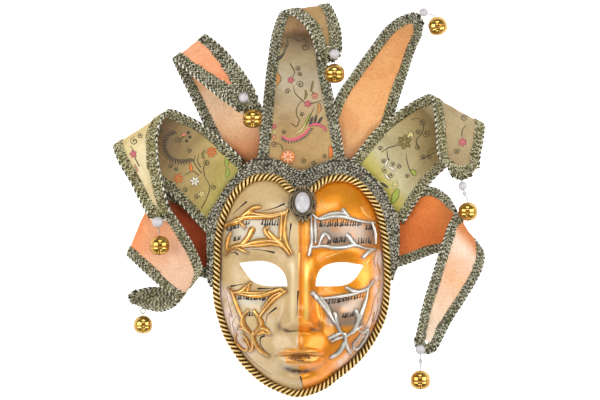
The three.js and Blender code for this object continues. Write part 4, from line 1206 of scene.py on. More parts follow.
def make_face():
    rings, angles, rims, flat = face_grid()
    flat, state = cut_eyes(flat)
    share = rings[:, None] + 0 * angles[None]
    outer, normals = on_face(flat)
    outer[-1, :, 2] = 0
    straight = outer - np.array([0, 0, 1.0]) * (WALL / np.maximum(normals[..., 2:], 0.35))
    inward = at_angle(angles[None], share * (rims[None] - WALL))
    inner_places, inner_normals = on_face(inward)
    follow = inner_places - inner_normals * WALL
    blend = smoothstep(share, *WALL_BLEND)[..., None]
    inner = straight * (1 - blend) + follow * blend
    inner[-1] = np.concatenate([inward[-1], np.zeros((len(angles), 1))], 1)
    count = outer.shape[0] * outer.shape[1]
    middle, middle_normal = on_face(FACE_CENTRE[None])
    corners = np.vstack([outer.reshape(-1, 3), middle, inner.reshape(-1, 3), middle - middle_normal * WALL])
    quads, _ = skin(FACE_RINGS, FACE_SPOKES, True)
    quads = quads[:, ::-1]
    kept, cut = cut_faces(quads, state)
    j = np.arange(FACE_SPOKES)
    hub = np.stack([np.full(FACE_SPOKES, count), j, (j + 1) % FACE_SPOKES], 1)
    hub_state = np.append(state, 1)
    cut = np.vstack([cut, hub[(hub_state[hub] > 0).all(1)]])
    edges = edge_pairs(kept, cut)
    lower = count + 1
    walls = np.stack([edges[:, 1], edges[:, 0], edges[:, 0] + lower, edges[:, 1] + lower], 1)
    flat_all = np.vstack([flat.reshape(-1, 2), FACE_CENTRE[None]])
    fields = face_fields(flat_all[:, 0], flat_all[:, 1])
    fields = {key: np.tile(value, 2) for key, value in fields.items()}
    heap = Heap()
    # Faces at the very rim get the painted shade of the rim
    at_rim = share.ravel()[kept].min(1) > RIM_SHADE_FROM
    heap.add(corners, np.vstack([kept[~at_rim], walls]), cut, **fields)
    heap.add_faces(4, kept[:, ::-1] + lower, 1)
    heap.add_faces(3, cut[:, ::-1] + lower, 1)
    heap.add_faces(4, kept[at_rim], 2)
    materials = [FACE_PAINT, RAW_FACE, RIM_SHADE]
    piece("painted_face", heap, materials, ["face_shell"], sharp=50)


# Strokes, how wide they are against the drawn width, and the leaf laid on them
PIPING = {"gold_piping": (GOLD_PIPING, 1.0, GOLD_LEAF), "silver_piping": (SILVER_PIPING, 0.86, SILVER_LEAF)}
# Width, rise and width at the tips of the bed and of the line over it
PIPING_LAYERS = ((1.55, 0.6, 0.8), (0.92, 1.0, 1.0))


def make_piping():
    """Each stroke is a broad low bed of paste with a higher line piped over it"""
    for name, (strokes, drawn_wide, material) in PIPING.items():
        heap = Heap()
        for start, middle, end, path in strokes:
            for layer_wide, rise, tips in PIPING_LAYERS:
                wider = layer_wide * drawn_wide
                halves = (start * wider * tips, middle * wider, end * wider * tips)
                add_stroke(heap, on_face, path, halves, PIPING_RISE * rise, spacing=0.8, sides=9)
        piece(name, heap, [material])


# Painted lines: places, half widths at the start, middle and end, and the enamel
PAINTED = {
    "dark_lines": (DARK_LINES, (0.22, 0.42, 0.95), DARK_ENAMEL),
    "pale_lines": (PALE_LINES, (0.25, 0.5, 0.8), PALE_ENAMEL),
    "wash_lines": (WASH_LINES, (0.2, 0.42, 0.25), GREY_ENAMEL),
}
PAINT_RISE = 0.28
PAINT_SINK = 0.2


def make_painted_lines():
    for name, (lines, halves, material) in PAINTED.items():
        heap = Heap()
        for path in lines:
            add_stroke(heap, on_face, path, halves, PAINT_RISE, sink=PAINT_SINK, spacing=0.8, sides=5)
        piece(name, heap, [material])


# The thin lines of a music row, and the strokes on them: height, lean and half width
STAFF_LEVELS = (0.0, 0.5, 1.0)
STAFF_LINE = ((0.1, 0.14, 0.1), 0.1)
NOTE_TALL = (0.65, 1.05)
NOTE_LEAN = (-0.3, 1.5)
NOTE_HEAVY = (0.38, 0.62)
NOTE_RISE = 0.25


def make_staff_strokes():
    """Rows of short strokes and dots along thin lines, like notes but none in particular"""
    random = np.random.default_rng(7)
    heap = Heap()
    for start, end, count, height in STAFF_ROWS:
        start, end = np.array(start, float), np.array(end, float)
        for level in STAFF_LEVELS:
            path = np.linspace(start, end, 3) + [0, height * level]
            add_stroke(heap, on_face, path, *STAFF_LINE, sink=PAINT_SINK, spacing=1.6, sides=3)
        for k in range(count):
            foot = start + (end - start) * (k + 0.5) / count + random.uniform(-0.5, 0.5, 2)
            tall = height * random.uniform(*NOTE_TALL)
            head = foot + [random.uniform(*NOTE_LEAN), tall]
            heavy = random.uniform(*NOTE_HEAVY)
            add_stroke(heap, on_face, [foot, (foot + head) / 2, head], (heavy * 2.1, heavy, heavy * 1.1),
                       NOTE_RISE, sink=PAINT_SINK, spacing=0.9, sides=5)
    piece("staff_strokes", heap, [DARK_ENAMEL])


CORD_STRANDS = 3
CORD_PITCH = 14.7
CORD_ROWS = 960
CORD_INSET = 0.2
STRAND_OFFSET = 2.05
STRAND_THICK = 1.9
STRAND_WIDE = 2.1
STRAND_SIDES = 12
GROOVE_LEVEL = 2.7


def cord_path(count):
    angles = angles_round(count) - math.pi
    flat = at_angle(angles, np.interp(angles, *CORD_LINE))
    climb = smoothstep(flat[:, 1], *CORD_CLIMB)
    beside = CORD_LOW + (CORD_HIGH - CORD_LOW) * climb
    height = np.maximum(beside, rest_height(flat, CORD_RADIUS + SEAT_GAP))
    height = smoothed(height, 4, "wrap")
    flat = at_angle(angles, np.interp(angles, *CORD_LINE) - CORD_INSET)
    return np.column_stack([flat, height])


def make_cord():
    path = cord_path(CORD_ROWS)
    run = distances(np.vstack([path, path[:1]]))
    turns = round(run[-1] / CORD_PITCH)
    along = unit(np.roll(path, -1, 0) - np.roll(path, 1, 0))
    side = unit(np.stack([along[:, 1], -along[:, 0], np.zeros(len(path))], 1))
    up = np.cross(side, along)
    heap = Heap()
    around = angles_round(STRAND_SIDES)
    out_by = STRAND_OFFSET + STRAND_THICK * np.cos(around)
    aside_by = STRAND_WIDE * np.sin(around)
    far = np.hypot(out_by, aside_by)
    # How far out each corner of a strand is, which the yarn uses for painted shade in the grooves and a
    # painted highlight on top
    height = smoothstep(far, GROOVE_LEVEL, STRAND_OFFSET + STRAND_THICK)
    for strand in range(CORD_STRANDS):
        phase = 2 * math.pi * (turns * run[:-1] / run[-1] + strand / CORD_STRANDS)
        out, aside = swing(side, up, phase), swing(up, -side, phase)
        sections = path[:, None] + out[:, None] * out_by[:, None] + aside[:, None] * aside_by[:, None]
        add_loft(heap, sections, True, step=(1 / STRAND_SIDES, 0.7),
                 height=np.broadcast_to(height, sections.shape[:2]))
    piece("twisted_cord", heap, [GOLD_YARN], ["rim_cord"])


# One plait strand as a pointed spindle along X, 1 long and 1 wide
SPINDLE_SIDES = 4
SPINDLE_SHOULDER = 0.24


def spindle():
    """Corners, quads, triangles and their map places"""
    j = np.arange(SPINDLE_SIDES)
    k = (j + 1) % SPINDLE_SIDES
    nil = 0 * j
    turn = angles_round(SPINDLE_SIDES)
    rings = [np.stack([nil + x, 0.5 * np.cos(turn), 0.5 * np.sin(turn)], 1)
             for x in (-SPINDLE_SHOULDER, SPINDLE_SHOULDER)]
    corners = np.vstack([[(-0.5, 0, 0)], *rings, [(0.5, 0, 0)]])
    first, second = 1, 1 + SPINDLE_SIDES
    last = len(corners) - 1

    def places(*spots):
        return np.stack([np.stack([along, nil + level], 1) for along, level in spots], 1)

    quads = np.stack([first + j, first + k, second + k, second + j], 1)
    triangles = np.vstack([np.stack([nil, first + k, first + j], 1),
                           np.stack([nil + last, second + j, second + k], 1)])
    quad_map = places((j, 1), (j + 1, 1), (j + 1, 2), (j, 2))
    triangle_map = np.vstack([places((j, 0), (j + 1, 1), (j, 1)), places((j, 3), (j, 2), (j + 1, 2))])
    step = np.array([1 / SPINDLE_SIDES, 0.6])
    return corners, quads, triangles, quad_map * step, triangle_map * step


SPINDLE = spindle()


def add_grains(heap, centres, along, up, long, wide, thick, tones, warm=0.0):
    """Plait strands at many places at once, with how light and how golden each is"""
    corners, quads, triangles, quad_map, triangle_map = SPINDLE
    count = len(centres)
    if count == 0:
        return
    sizes = [np.broadcast_to(size, (count,))[:, None, None] for size in (long, wide, thick)]
    axes = (along, np.cross(up, along), up)
    placed = centres[:, None] + sum(
        corners[None, :, k, None] * sizes[k] * axis[:, None] for k, axis in enumerate(axes)
    )
    shift = (np.arange(count) * len(corners))[:, None, None]
    heap.add(
        placed, quads + shift, triangles + shift, np.tile(quad_map, (count, 1, 1)),
        np.tile(triangle_map, (count, 1, 1)), tone=np.repeat(tones, len(corners)),
        warm=np.repeat(np.broadcast_to(warm, (count,)), len(corners)),
    )


# Each strand of the plait is three threads side by side: dark, middling and bright
THREAD_TONES = np.array([0.1, 0.5, 0.92])
TONE_SPREAD = 0.17
SKIP_CHANCE = 0.18
SLANT_ASTRAY = 9


def strand_tones(random, count):
    """Three tones in turn, starting anywhere and losing their place now and then"""
    skips = np.cumsum(random.random(count) < SKIP_CHANCE)
    tones = THREAD_TONES[(np.arange(count) + skips) % 3]
    return np.clip(tones + random.normal(0, TONE_SPREAD, count), 0, 1)


def slanted(random, along, across, slant):
    """Directions at a slant to a run, each a little off"""
    angle = np.radians(slant + random.normal(0, SLANT_ASTRAY, len(along)))
    return unit(swing(along, across, angle))


def add_ground(heap, sections):
    """The dark strip that the strands lie on, which stands in for the shade in the gaps between them"""
    size = sections.shape[:2]
    add_loft(heap, sections, slot=1, tone=np.full(size, 0.1), warm=np.zeros(size))


# Strands along a row: spacing on the seen and the unseen side, length, width and thickness
GRAIN_STEP = 1.3
UNDER_STEP = 2.8
GRAIN_LONG = 3.4
GRAIN_WIDE = 0.8
GRAIN_THICK = 1.4
GRAIN_SWELL = 0.9
LONGER_OR_SHORTER = (0.85, 1.2)
ASTRAY = 0.14
# Rows across the braid: width, slant, first row's distance from the edge, and how deep they sit
ROW_WIDE = 1.9
ROW_SLANT = 42
ROW_FIRST = 1.9
ROW_KEPT = 0.9 - 0.4 * ROW_WIDE
ROW_SUNK = 0.7
# The cord on the edge: dark and bright strands in turn
EDGE_STEP = 2.3
EDGE_SLANT = 30
EDGE_IN = 0.7
EDGE_UP = 0.75
EDGE_ASTRAY = 0.08
EDGE_TONES = (0.08, 0.95)
EDGE_SPREAD = 0.07
# The ground strip: how thin it is, and how far it keeps from the outer and the inner edge
GROUND_SUNK = 1.0
GROUND_IN = (0.9, 0.2)


def add_plait(heap, outer, inner, normals, random, warm, edge):
    """Braid between two edges: a ground strip, slanting rows on both sides and a cord on the edge"""
    run = distances((outer + inner) / 2)
    given = np.concatenate([outer, inner, normals, warm[:, None]], 1)

    def at_spots(step):
        count = max(int(run[-1] / step), 4)
        found = read_off(given, run, (np.arange(count) + 0.5) * run[-1] / count)
        out, into, up = found[:, :3], found[:, 3:6], unit(found[:, 6:9])
        along = unit(np.gradient((out + into) / 2, axis=0))
        return count, out, unit(into - out), lengths(into - out)[:, 0], up, along, found[:, 9]

    for face, step, seen in ((1, GRAIN_STEP, True), (-1, GRAIN_STEP, True), (1, UNDER_STEP, False),
                             (-1, UNDER_STEP, False)):
        count, out, across, wide, up, along, gilt = at_spots(step)
        rows = int(wide.max() / ROW_WIDE) + 1
        for row in range(rows):
            distance = ROW_FIRST + row * ROW_WIDE
            kept = (wide > distance - ROW_KEPT) & ((up[:, 2] * face > -0.1) == seen)
            direction = slanted(random, along, across, (ROW_SLANT if row % 2 else -ROW_SLANT) * face)
            jitter = random.normal(0, ASTRAY, (count, 3))
            place = out + across * distance + up * face * (BRAID_THICK / 2 - ROW_SUNK) + jitter
            long = GRAIN_LONG * random.uniform(*LONGER_OR_SHORTER, count)
            tones = strand_tones(random, count)
            add_grains(heap, place[kept], direction[kept], up[kept], long[kept],
                       GRAIN_WIDE * step**GRAIN_SWELL, GRAIN_THICK, tones[kept], gilt[kept])
    long, thick, step = edge
    count, out, across, _, up, along, _ = at_spots(step)
    for face in (1, -1):
        direction = unit(swing(along, across, math.radians(EDGE_SLANT * face)))
        place = out + across * EDGE_IN + up * face * EDGE_UP + random.normal(0, EDGE_ASTRAY, (count, 3))
        tones = np.clip(np.resize(EDGE_TONES, count) + random.normal(0, EDGE_SPREAD, count), 0, 1)
        add_grains(heap, place, direction, up, long, thick, thick, tones)
    thin = BRAID_THICK / 2 - GROUND_SUNK
    inward, up = unit(inner - outer), normals * thin
    near, far = outer + inward * GROUND_IN[0], inner - inward * GROUND_IN[1]
    add_ground(heap, np.stack([near + up, far + up, far - up, near - up], 1))


# Braid widths along each point, and how golden its threads are, from the hood to the tip
BRAID_WIDTHS = {
    "centre": [(0, 9.6), (0.65, 9.6), (0.8, 11), (1, 12)],
    "inner_left": [(0, 9.6), (0.6, 9.6), (0.85, 16), (1, 16)],
    "inner_right": [(0, 9.2), (1, 8.8)],
    "outer_left": [(0, 9.2), (0.45, 9), (0.55, 9.6), (1, 10.5)],
    "outer_right": [(0, 9.2), (0.45, 9.2), (0.55, 9), (1, 9.2)],
    "lower_left": [(0, 9.2), (1, 9.4)],
    "lower_right": [(0, 9), (0.5, 8.8), (1, 9.2)],
}
GILDING = {
    "centre": [(0, 0.1), (0.5, 0.25), (1, 0.35)],
    "inner_left": [(0, 0.3), (0.5, 0.15), (1, 0.2)],
    "inner_right": [(0, 0.6), (0.6, 0.35), (1, 0.1)],
    "outer_left": [(0, 0.3), (0.45, 0.6), (0.55, 0.95), (1, 0.8)],
    "outer_right": [(0, 0.6), (0.5, 0.75), (1, 0.6)],
    "lower_left": [(0, 0.3), (1, 0.4)],
    "lower_right": [(0, 0.35), (0.5, 0.15), (1, 0.2)],
}
# Strands of the cord on the edge: length, thickness and spacing
EDGE_SIZES = {"outer_left": (6.6, 2.3, 3.1), "inner_left": (5.6, 2.0, 2.6), "outer_right": (6.0, 2.1, 2.7)}
EDGE_SIZE = (5.2, 1.8, 2.4)


# Where the braids of both edges meet: the width left between them, and how far they overlap
BRAIDS_MEET = 1.2
BRAID_OVERLAP = 0.15
LEAST_SLANT = 0.6


def point_edges(name, per_span=14):
    """Edges of a fabric point, the direction across it and its normals, from the hood out"""
    ribs = POINTS[name]
    left_knots = [(rib[0], rib[1], rib[4]) for rib in ribs]
    right_knots = [(rib[2], rib[3], rib[5] if len(rib) > 5 else rib[4]) for rib in ribs]
    shares = np.linspace(0, 1, per_span * (len(ribs) - 1) + 1)
    nudge = 1e-4
    edges, runs = [], []
    for knots in (left_knots, right_knots):
        edges.append(curve(knots, shares))
        behind, ahead = np.clip(shares - nudge, 0, 1), np.clip(shares + nudge, 0, 1)
        runs.append(unit(curve(knots, ahead) - curve(knots, behind)))
    width = lengths(edges[1] - edges[0])
    across = (edges[1] - edges[0]) / width
    normal = unit(np.cross(across, unit(runs[0] + runs[1])))
    braid_wide = np.interp(shares, *zip(*BRAID_WIDTHS[name]))[:, None]
    insets = [braid_wide / np.maximum(lengths(np.cross(across, run)), LEAST_SLANT) for run in runs]
    met = np.maximum.accumulate(width / 2 - np.maximum(*insets) < BRAIDS_MEET)
    insets = [np.where(met, width / 2 + BRAID_OVERLAP, inset) for inset in insets]
    return edges, across, normal, width, insets


def make_plaits():
    for number, name in enumerate(POINTS):
        random = np.random.default_rng(20 + number)
        edges, across, normal, width, insets = point_edges(name)
        middle = (edges[0][-1] + edges[1][-1]) / 2
        ahead = np.cross(normal[-1], across[-1])
        spokes = swing(-across[-1], ahead, np.linspace(0, math.pi, 14)[1:-1])
        half = width[-1] / 2
        outer = np.vstack([edges[0], middle + spokes * half, edges[1][::-1]])
        inner = np.vstack([
            edges[0] + across * insets[0], middle + spokes * (half - insets[0][-1]),
            (edges[1] - across * insets[1])[::-1],
        ])
        normals = np.vstack([normal, np.repeat(normal[-1:], len(spokes), 0), normal[::-1]])
        gilt = np.interp(np.linspace(0, 1, len(normal)), *zip(*GILDING[name]))
        gilt = np.concatenate([gilt, np.full(len(spokes), gilt[-1]), gilt[::-1]])
        heap = Heap()
        add_plait(heap, outer, inner, normals, random, gilt, EDGE_SIZES.get(name, EDGE_SIZE))
        piece("plait_" + name, heap, [BRAID_THREADS, BRAID_SHADE_GROUND], ["braid_" + name])


# Dyes of each cloth with their painted shade, from the hood to the tip: as seen before the fold, and on the
# lining after it; the darker stops are painted shade, near the hood, in the folds and inside the curls
DYES_AND_SHADE = {
    "centre": [(0, 182, 148, 94), (0.2, 182, 150, 98), (0.42, 188, 174, 146), (0.52, 178, 158, 118),
               (0.62, 112, 82, 48), (0.66, 176, 136, 84), (0.8, 190, 156, 100), (1, 150, 118, 70)],
    "inner_left": [(0, 140, 78, 40), (0.1, 200, 136, 88), (0.22, 236, 192, 150), (0.36, 242, 206, 168),
                   (0.48, 236, 170, 112), (0.54, 216, 138, 84), (0.6, 238, 168, 124), (1, 226, 150, 104)],
    "inner_right": [(0, 206, 156, 112), (0.3, 234, 176, 116), (0.6, 228, 166, 104), (1, 210, 150, 92)],
    "outer_left": [(0, 186, 178, 92), (0.15, 184, 160, 98), (0.3, 164, 140, 90), (0.42, 132, 102, 56),
                   (0.5, 112, 86, 46), (0.56, 216, 192, 130), (0.75, 226, 212, 172), (1, 214, 192, 144)],
    "outer_right": [(0, 184, 170, 56), (0.08, 190, 178, 100), (0.14, 198, 190, 152),
                    (0.28, 176, 158, 112), (0.4, 154, 132, 78), (0.48, 130, 106, 56),
                    (0.56, 190, 172, 132), (0.8, 172, 152, 112), (1, 156, 134, 96)],
    "lower_left": [(0, 158, 62, 10), (0.14, 172, 72, 14), (0.28, 142, 66, 18), (0.33, 244, 148, 82),
                   (0.42, 240, 168, 118), (0.6, 232, 190, 158), (1, 226, 186, 152)],
    "lower_right": [(0, 218, 112, 46), (0.25, 222, 126, 56), (0.38, 200, 118, 58), (0.46, 226, 150, 90),
                    (0.52, 240, 214, 192), (0.66, 234, 180, 138), (0.85, 234, 208, 180), (1, 236, 214, 190)],
}
VELVETS = ("inner_left", "inner_right", "lower_left", "lower_right")
CLOTH_COLUMNS = 25
# How far the cloth goes under the braid, the least width that it keeps, and its buckles
TUCK = 3
LEAST_CLOTH = 1.5
BUCKLE = 0.35


def ripple(u, v, seed):
    """Small soft buckles of stiffened cloth"""
    return (np.sin(u * 0.11 + seed) * np.sin(v * 0.17 + 2 * seed) + 0.6 * np.sin(u * 0.23 - v * 0.19 + seed)
            + 0.4 * np.sin(v * 0.41 + u * 0.07 + 3 * seed))


CLOTH_TREES = {}


def make_cloths():
    for number, name in enumerate(POINTS):
        edges, across, normal, width, insets = point_edges(name)
        run = distances((edges[0] + edges[1]) / 2)
        starts = [edges[0] + across * (insets[0] - TUCK), edges[1] - across * (insets[1] - TUCK)]
        ends_at = np.argmax(width[:, 0] - insets[0][:, 0] - insets[1][:, 0] < LEAST_CLOTH) or len(width)
        share = np.linspace(0, 1, CLOTH_COLUMNS)[None, :, None]
        sheet = starts[0][:ends_at, None] * (1 - share) + starts[1][:ends_at, None] * share
        u = share[..., 0] * width[:ends_at]
        v = run[:ends_at, None] + 0 * u
        swell = np.sin(share[..., 0] * math.pi)
        sheet = sheet + normal[:ends_at, None] * (BUCKLE * ripple(u, v, number) * swell)[..., None]
        half = normal[:ends_at, None] * CLOTH_THICK / 2
        sections = np.concatenate([sheet + half, (sheet - half)[:, ::-1]], 1)
        heap = Heap()
        stops = np.array(DYES_AND_SHADE[name], float)
        stops[:, 1:] = [paint(*stop[1:])[:3] for stop in DYES_AND_SHADE[name]]
        colour = read_off(stops[:, 1:], stops[:, 0], run[:ends_at] / run[-1])
        dye = np.ones((ends_at, 2 * CLOTH_COLUMNS, 4))
        dye[..., :3] = colour[:, None]
        dye = np.vstack([dye.reshape(-1, 4), dye[0, :1], dye[-1, :1]])
        step = (1 / CLOTH_COLUMNS * 0.06, 0.0016)
        add_loft(heap, sections, step=step, dye=dye)
        finish, slot = (VELVET, "velvet") if name in VELVETS else (BROCADE, "brocade")
        piece("cloth_" + name, heap, [finish], ["point_" + name], sharp=60)
        upper, lower = np.split(sections, 2, axis=1)
        faces, _ = skin(ends_at, CLOTH_COLUMNS, False)
        polygons = np.vstack([faces, faces + upper[..., 0].size])
        corners = np.vstack([upper.reshape(-1, 3), lower.reshape(-1, 3)])
        CLOTH_TREES[name] = BVHTree.FromPolygons(corners.tolist(), polygons.tolist())


def on_cloth(name):
    """Finds places on a point's upper side, as seen from the front"""
    tree = CLOTH_TREES[name]

    def find(spots):
        places = np.zeros((*spots.shape[:-1], 3))
        normals = np.zeros_like(places)
        normals[..., 2] = 1
        for index in np.ndindex(spots.shape[:-1]):
            x, y = spots[index]
            hit, facing, _, _ = tree.ray_cast(Vector((x, y, 200)), Vector((0, 0, -1)))
            if hit is None:
                near, facing, _, _ = tree.find_nearest(Vector((x, y, 30)))
                hit = near
            if facing.z < 0:
                facing = -facing
            places[index] = hit
            normals[index] = facing
        return places, normals
    return find


INK, BLACK, SLATE, OLIVE, GREEN, PINK, ROSE, ORANGE, AMBER, STRAW, CREAM = (
    paint(74, 62, 28), paint(26, 23, 20), paint(56, 60, 58), paint(134, 118, 48), paint(160, 176, 60),
    paint(226, 96, 118), paint(232, 138, 112), paint(232, 122, 34), paint(206, 142, 70), paint(232, 216, 140),
    paint(240, 234, 214),
)
# Silk threads: half widths of stems, spirals and petals, and the dark line around a filled shape
STEM = (0.35, 0.55, 0.6)
SPIRAL = (0.32, 0.48, 0.75)
PETAL = (0.3, 0.75, 0.4)
BARB = (0.5, 0.75, 0.3)
OUTLINED = 0.35
# Line work and fillings of the brocade: stems, spirals (place, size, first angle, hand), filled shapes
# (colour, half width, places), flowers (place, radius, petals, colour), rosettes and fringed plumes
EMBROIDERY = {
    "centre": {
        "stems": [
            [(-19, 152), (-14, 158), (-15, 165), (-9, 165), (-3, 162), (2, 164), (5, 161)],
            [(-15, 162), (-16, 155), (-19, 149), (-24, 144)], [(-9, 117), (-7, 110), (0, 102.6), (4.4, 99)],
            [(0, 102.6), (-5, 95), (-5.6, 88), (-2.8, 82.6), (-5.6, 76), (-10.6, 79)],
            [(-9, 126), (-7.5, 131), (-10, 136), (-12, 139)], [(12.2, 95), (9, 88), (5.6, 80), (3.3, 77)],
            [(20, 102), (13, 100), (6, 98)], [(11, 121), (9, 114), (12, 108)],
            [(-26, 60), (-21, 57), (-19, 52)],
        ],
        "spirals": [
            (3, 156, 4.5, 90, -1), (-19, 158, 3.5, 200, 1), (-4, 134, 3, 180, -1), (-2, 128.5, 2.6, 200, -1),
            (-1.7, 118, 4, 180, -1), (-14.4, 111.4, 3.2, 0, 1), (0, 88, 2.7, 0, 1), (-18, 70.5, 2.7, 90, 1),
            (-28, 58.5, 3.6, 0, -1), (2, 41.5, 3.2, 90, 1), (12, 39.5, 3.2, 0, -1), (23, 46, 2.8, 40, 1),
        ],
        "shapes": [
            (SLATE, 1.1, [(-24, 143), (-21, 146), (-18, 150)]),
            (OLIVE, 1.2, [(3, 104), (4.3, 108), (3.4, 112)]),
            (OLIVE, 1.0, [(9, 112), (10, 116), (11, 121)]), (AMBER, 1.9, [(16, 90), (17.6, 94), (17.2, 98)]),
            (AMBER, 3.6, [(-26, 119), (-24.5, 124), (-26, 129)]),
            (STRAW, 0.9, [(-7, 69), (-1, 72), (3.5, 79)]),
            (GREEN, 0.9, [(3, 77), (5, 82), (8, 88)]), (SLATE, 1.3, [(8, 78), (9, 81), (10.5, 85)]),
            (SLATE, 1.3, [(12.5, 79), (13.5, 83), (14.5, 87)]), (SLATE, 1.3, [(16, 79), (18, 82), (20, 85)]),
            (PINK, 1.8, [(8, 77), (14, 78.5), (20, 76.5)]), (PINK, 1.3, [(18, 77), (22, 75), (24, 72)]),
            (ORANGE, 2.6, [(28, 46), (29.5, 50), (28.5, 55)]),
        ],
        "flowers": [
            (-11.3, 122.6, 3.9, 5, PINK), (5.8, 98.7, 4.2, 6, PINK), (13, 107, 3.8, 5, ROSE),
            (-28, 76, 2.8, 5, PINK), (-27.5, 70.5, 2.4, 5, STRAW), (-28, 65.5, 2.6, 5, ROSE),
        ],
        "rosettes": [(-14.2, 45.3, 10.2)],
        "plumes": [(1.6, PINK, SLATE, 3.6, -1, [(-20, 66), (-12, 62.6), (-3.3, 64.8), (4.4, 70), (7.2, 74)])],
    },
    "outer_left": {
        "stems": [
            [(-98, 26), (-93, 15), (-96, 4), (-101, -6)], [(-96, 42), (-99, 34), (-98, 26)],
            [(-108, 47), (-108.5, 40), (-105, 34), (-101, 29)], [(-104, 48), (-105, 41), (-102, 35)],
            [(-118, 27), (-110, 31), (-104, 27)], [(-118, 66), (-121, 64), (-123, 60)],
            [(-172, 56), (-169, 52), (-167, 44), (-163, 36)],
        ],
        "spirals": [
            (-124.4, 63, 3.6, 90, 1), (-141, 71.4, 2.6, 0, 1), (-96, 39, 3.6, 180, -1), (-89, 15, 3.4, 90, 1),
            (-106, 5, 3.2, 0, 1), (-168, 61, 4.4, 90, 1), (-162.5, 67, 3, 0, -1), (-132, 36, 3, 0, 1),
            (-127, 33, 2.6, 90, -1), (-117, 12, 3, 40, 1), (-113, 52, 2.8, 120, 1),
        ],
        "shapes": [
            (BLACK, 1.8, [(-114.7, 69.8), (-114.4, 69.8), (-114.1, 69.8)]),
            (BLACK, 1.9, [(-113.1, 65.3), (-112.8, 65.3), (-112.5, 65.3)]),
            (BLACK, 1.8, [(-116.4, 61.4), (-116.1, 61.4), (-115.8, 61.4)]),
            (ROSE, 1.5, [(-120.5, 67), (-119, 68), (-117.3, 67.5)]),
            (ORANGE, 1.6, [(-112.6, 38), (-111.7, 34), (-111, 31)]),
            (GREEN, 2.3, [(-76, 44), (-75.6, 41), (-76, 37)]),
            (GREEN, 2.0, [(-75, 33), (-74.4, 30), (-76, 26)]),
            (OLIVE, 1.2, [(-98, 52), (-100, 48), (-99, 44)]),
            (ROSE, 0.8, [(-167, 37), (-166, 34), (-164.5, 31)]),
        ],
        "flowers": [
            (-91, 50.3, 6.4, 7, ORANGE), (-124.4, 23.7, 5.8, 6, ORANGE), (-169, 48, 4.2, 5, PINK),
            (-108, 21, 5.6, 6, CREAM), (-101, 8, 4, 5, STRAW),
        ],
        "plumes": [(0.5, INK, BLACK, 5.4, -1, [
            (-126, 69), (-133.3, 65.5), (-136.7, 57.6), (-134.4, 48.7), (-127.8, 43.5), (-120, 42.5),
            (-112, 44)])],
    },
    "outer_right": {
        "stems": [
            [(110, 83), (117, 84), (122, 79), (121, 70), (115, 62), (118, 54)],
            [(80, 50), (86, 54), (95, 57)],
            [(104.7, 49), (106.3, 39), (108.6, 32), (112, 27)], [(118, 42), (126, 46), (134, 50)],
            [(165, 77), (161, 73), (160, 66)], [(86, 52), (86, 46), (88, 42)],
        ],
        "spirals": [
            (120.8, 80, 4, 90, -1), (125.2, 69, 4, 180, 1), (117, 70.3, 3, 0, 1), (116.5, 55, 3, 90, 1),
            (79, 54, 2.7, 0, 1), (121.9, 44.8, 3, 180, -1), (128, 46, 3, 0, -1), (106, 26, 2.6, 0, 1),
            (161.9, 84.8, 4, 60, -1), (155, 50.3, 3.4, 0, 1), (82, 41, 2.8, 0, 1), (91.5, 38, 2.8, 180, -1),
            (83, 32, 3, 90, 1), (89.5, 27, 3, 0, -1), (98, 36, 3, 90, 1),
        ],
        "shapes": [
            (STRAW, 1.9, [(107, 66), (110, 69), (111, 66)]),
            (GREEN, 2.6, [(111, 31.5), (112.4, 29.8), (113.6, 28)]),
            (GREEN, 3.6, [(92, 1), (94, 6), (96, 11)]), (SLATE, 1.1, [(80, 19), (83, 17), (86, 15)]),
            (CREAM, 1.3, [(84, 36), (85, 39), (86, 42)]), (CREAM, 1.3, [(88, 35), (90.5, 34), (93, 32)]),
            (CREAM, 1.3, [(84, 28), (86, 25), (88, 23)]), (OLIVE, 1.3, [(127, 50), (131, 53), (134, 54)]),
            (ROSE, 1.0, [(158, 32), (159, 31.4), (160, 31)]),
        ],
        "flowers": [(103, 60.3, 8.6, 6, OLIVE), (160.8, 59.8, 4.8, 6, PINK), (94, 18, 3.6, 5, STRAW)],
    },
}


def add_thread(heap, surface, path, halves, colour, rise=0.22):
    add_stroke(heap, surface, path, halves, rise, sink=0.15, spacing=1.1, sides=5,
               thread=np.array(colour)[None])


def add_shape(heap, surface, colour, half, path):
    """A filled stroke with a thin dark line around it"""
    for more, shade, rise in ((OUTLINED, INK, 0.2), (0, colour, 0.34)):
        add_thread(heap, surface, path, (half * 0.6 + more, half + more, half * 0.6 + more), shade, rise)


def add_stem(heap, surface, *path):
    add_thread(heap, surface, path, STEM, INK)


def add_spiral(heap, surface, x, y, size, turn, hand):
    share = np.linspace(0, 1, 9)
    angle = math.radians(turn) + hand * share * 2.6 * math.pi
    radius = size * (1 - 0.82 * share)
    path = np.stack([x + radius * np.cos(angle), y + radius * np.sin(angle)], 1)
    add_thread(heap, surface, path, SPIRAL, INK)


def add_flower(heap, surface, x, y, radius, petals, colour):
    for k in range(petals):
        angle = x + k / petals * 2 * math.pi
        out = np.array([math.cos(angle), math.sin(angle)])
        path = [np.array([x, y]) + out * radius * share for share in (0.3, 0.5, 0.7)]
        add_shape(heap, surface, colour, radius * 2 / petals * 0.8, path)
    add_shape(heap, surface, STRAW, radius * 0.14, [(x - 0.3, y), (x, y), (x + 0.3, y)])


def add_rosette(heap, surface, x, y, radius):
    """A scalloped disc with a star of pale petals on it"""
    add_flower(heap, surface, x, y, radius, 11, AMBER)
    add_thread(heap, surface, [(x - 0.3, y), (x, y), (x + 0.3, y)], (radius * 0.68,) * 3, ORANGE, 0.5)
    for k in range(8):
        out = np.array([math.cos(k * math.pi / 4), math.sin(k * math.pi / 4)])
        path = [np.array([x, y]) + out * radius * share for share in (0.12, 0.35, 0.55)]
        add_thread(heap, surface, path, PETAL, CREAM, 0.75)


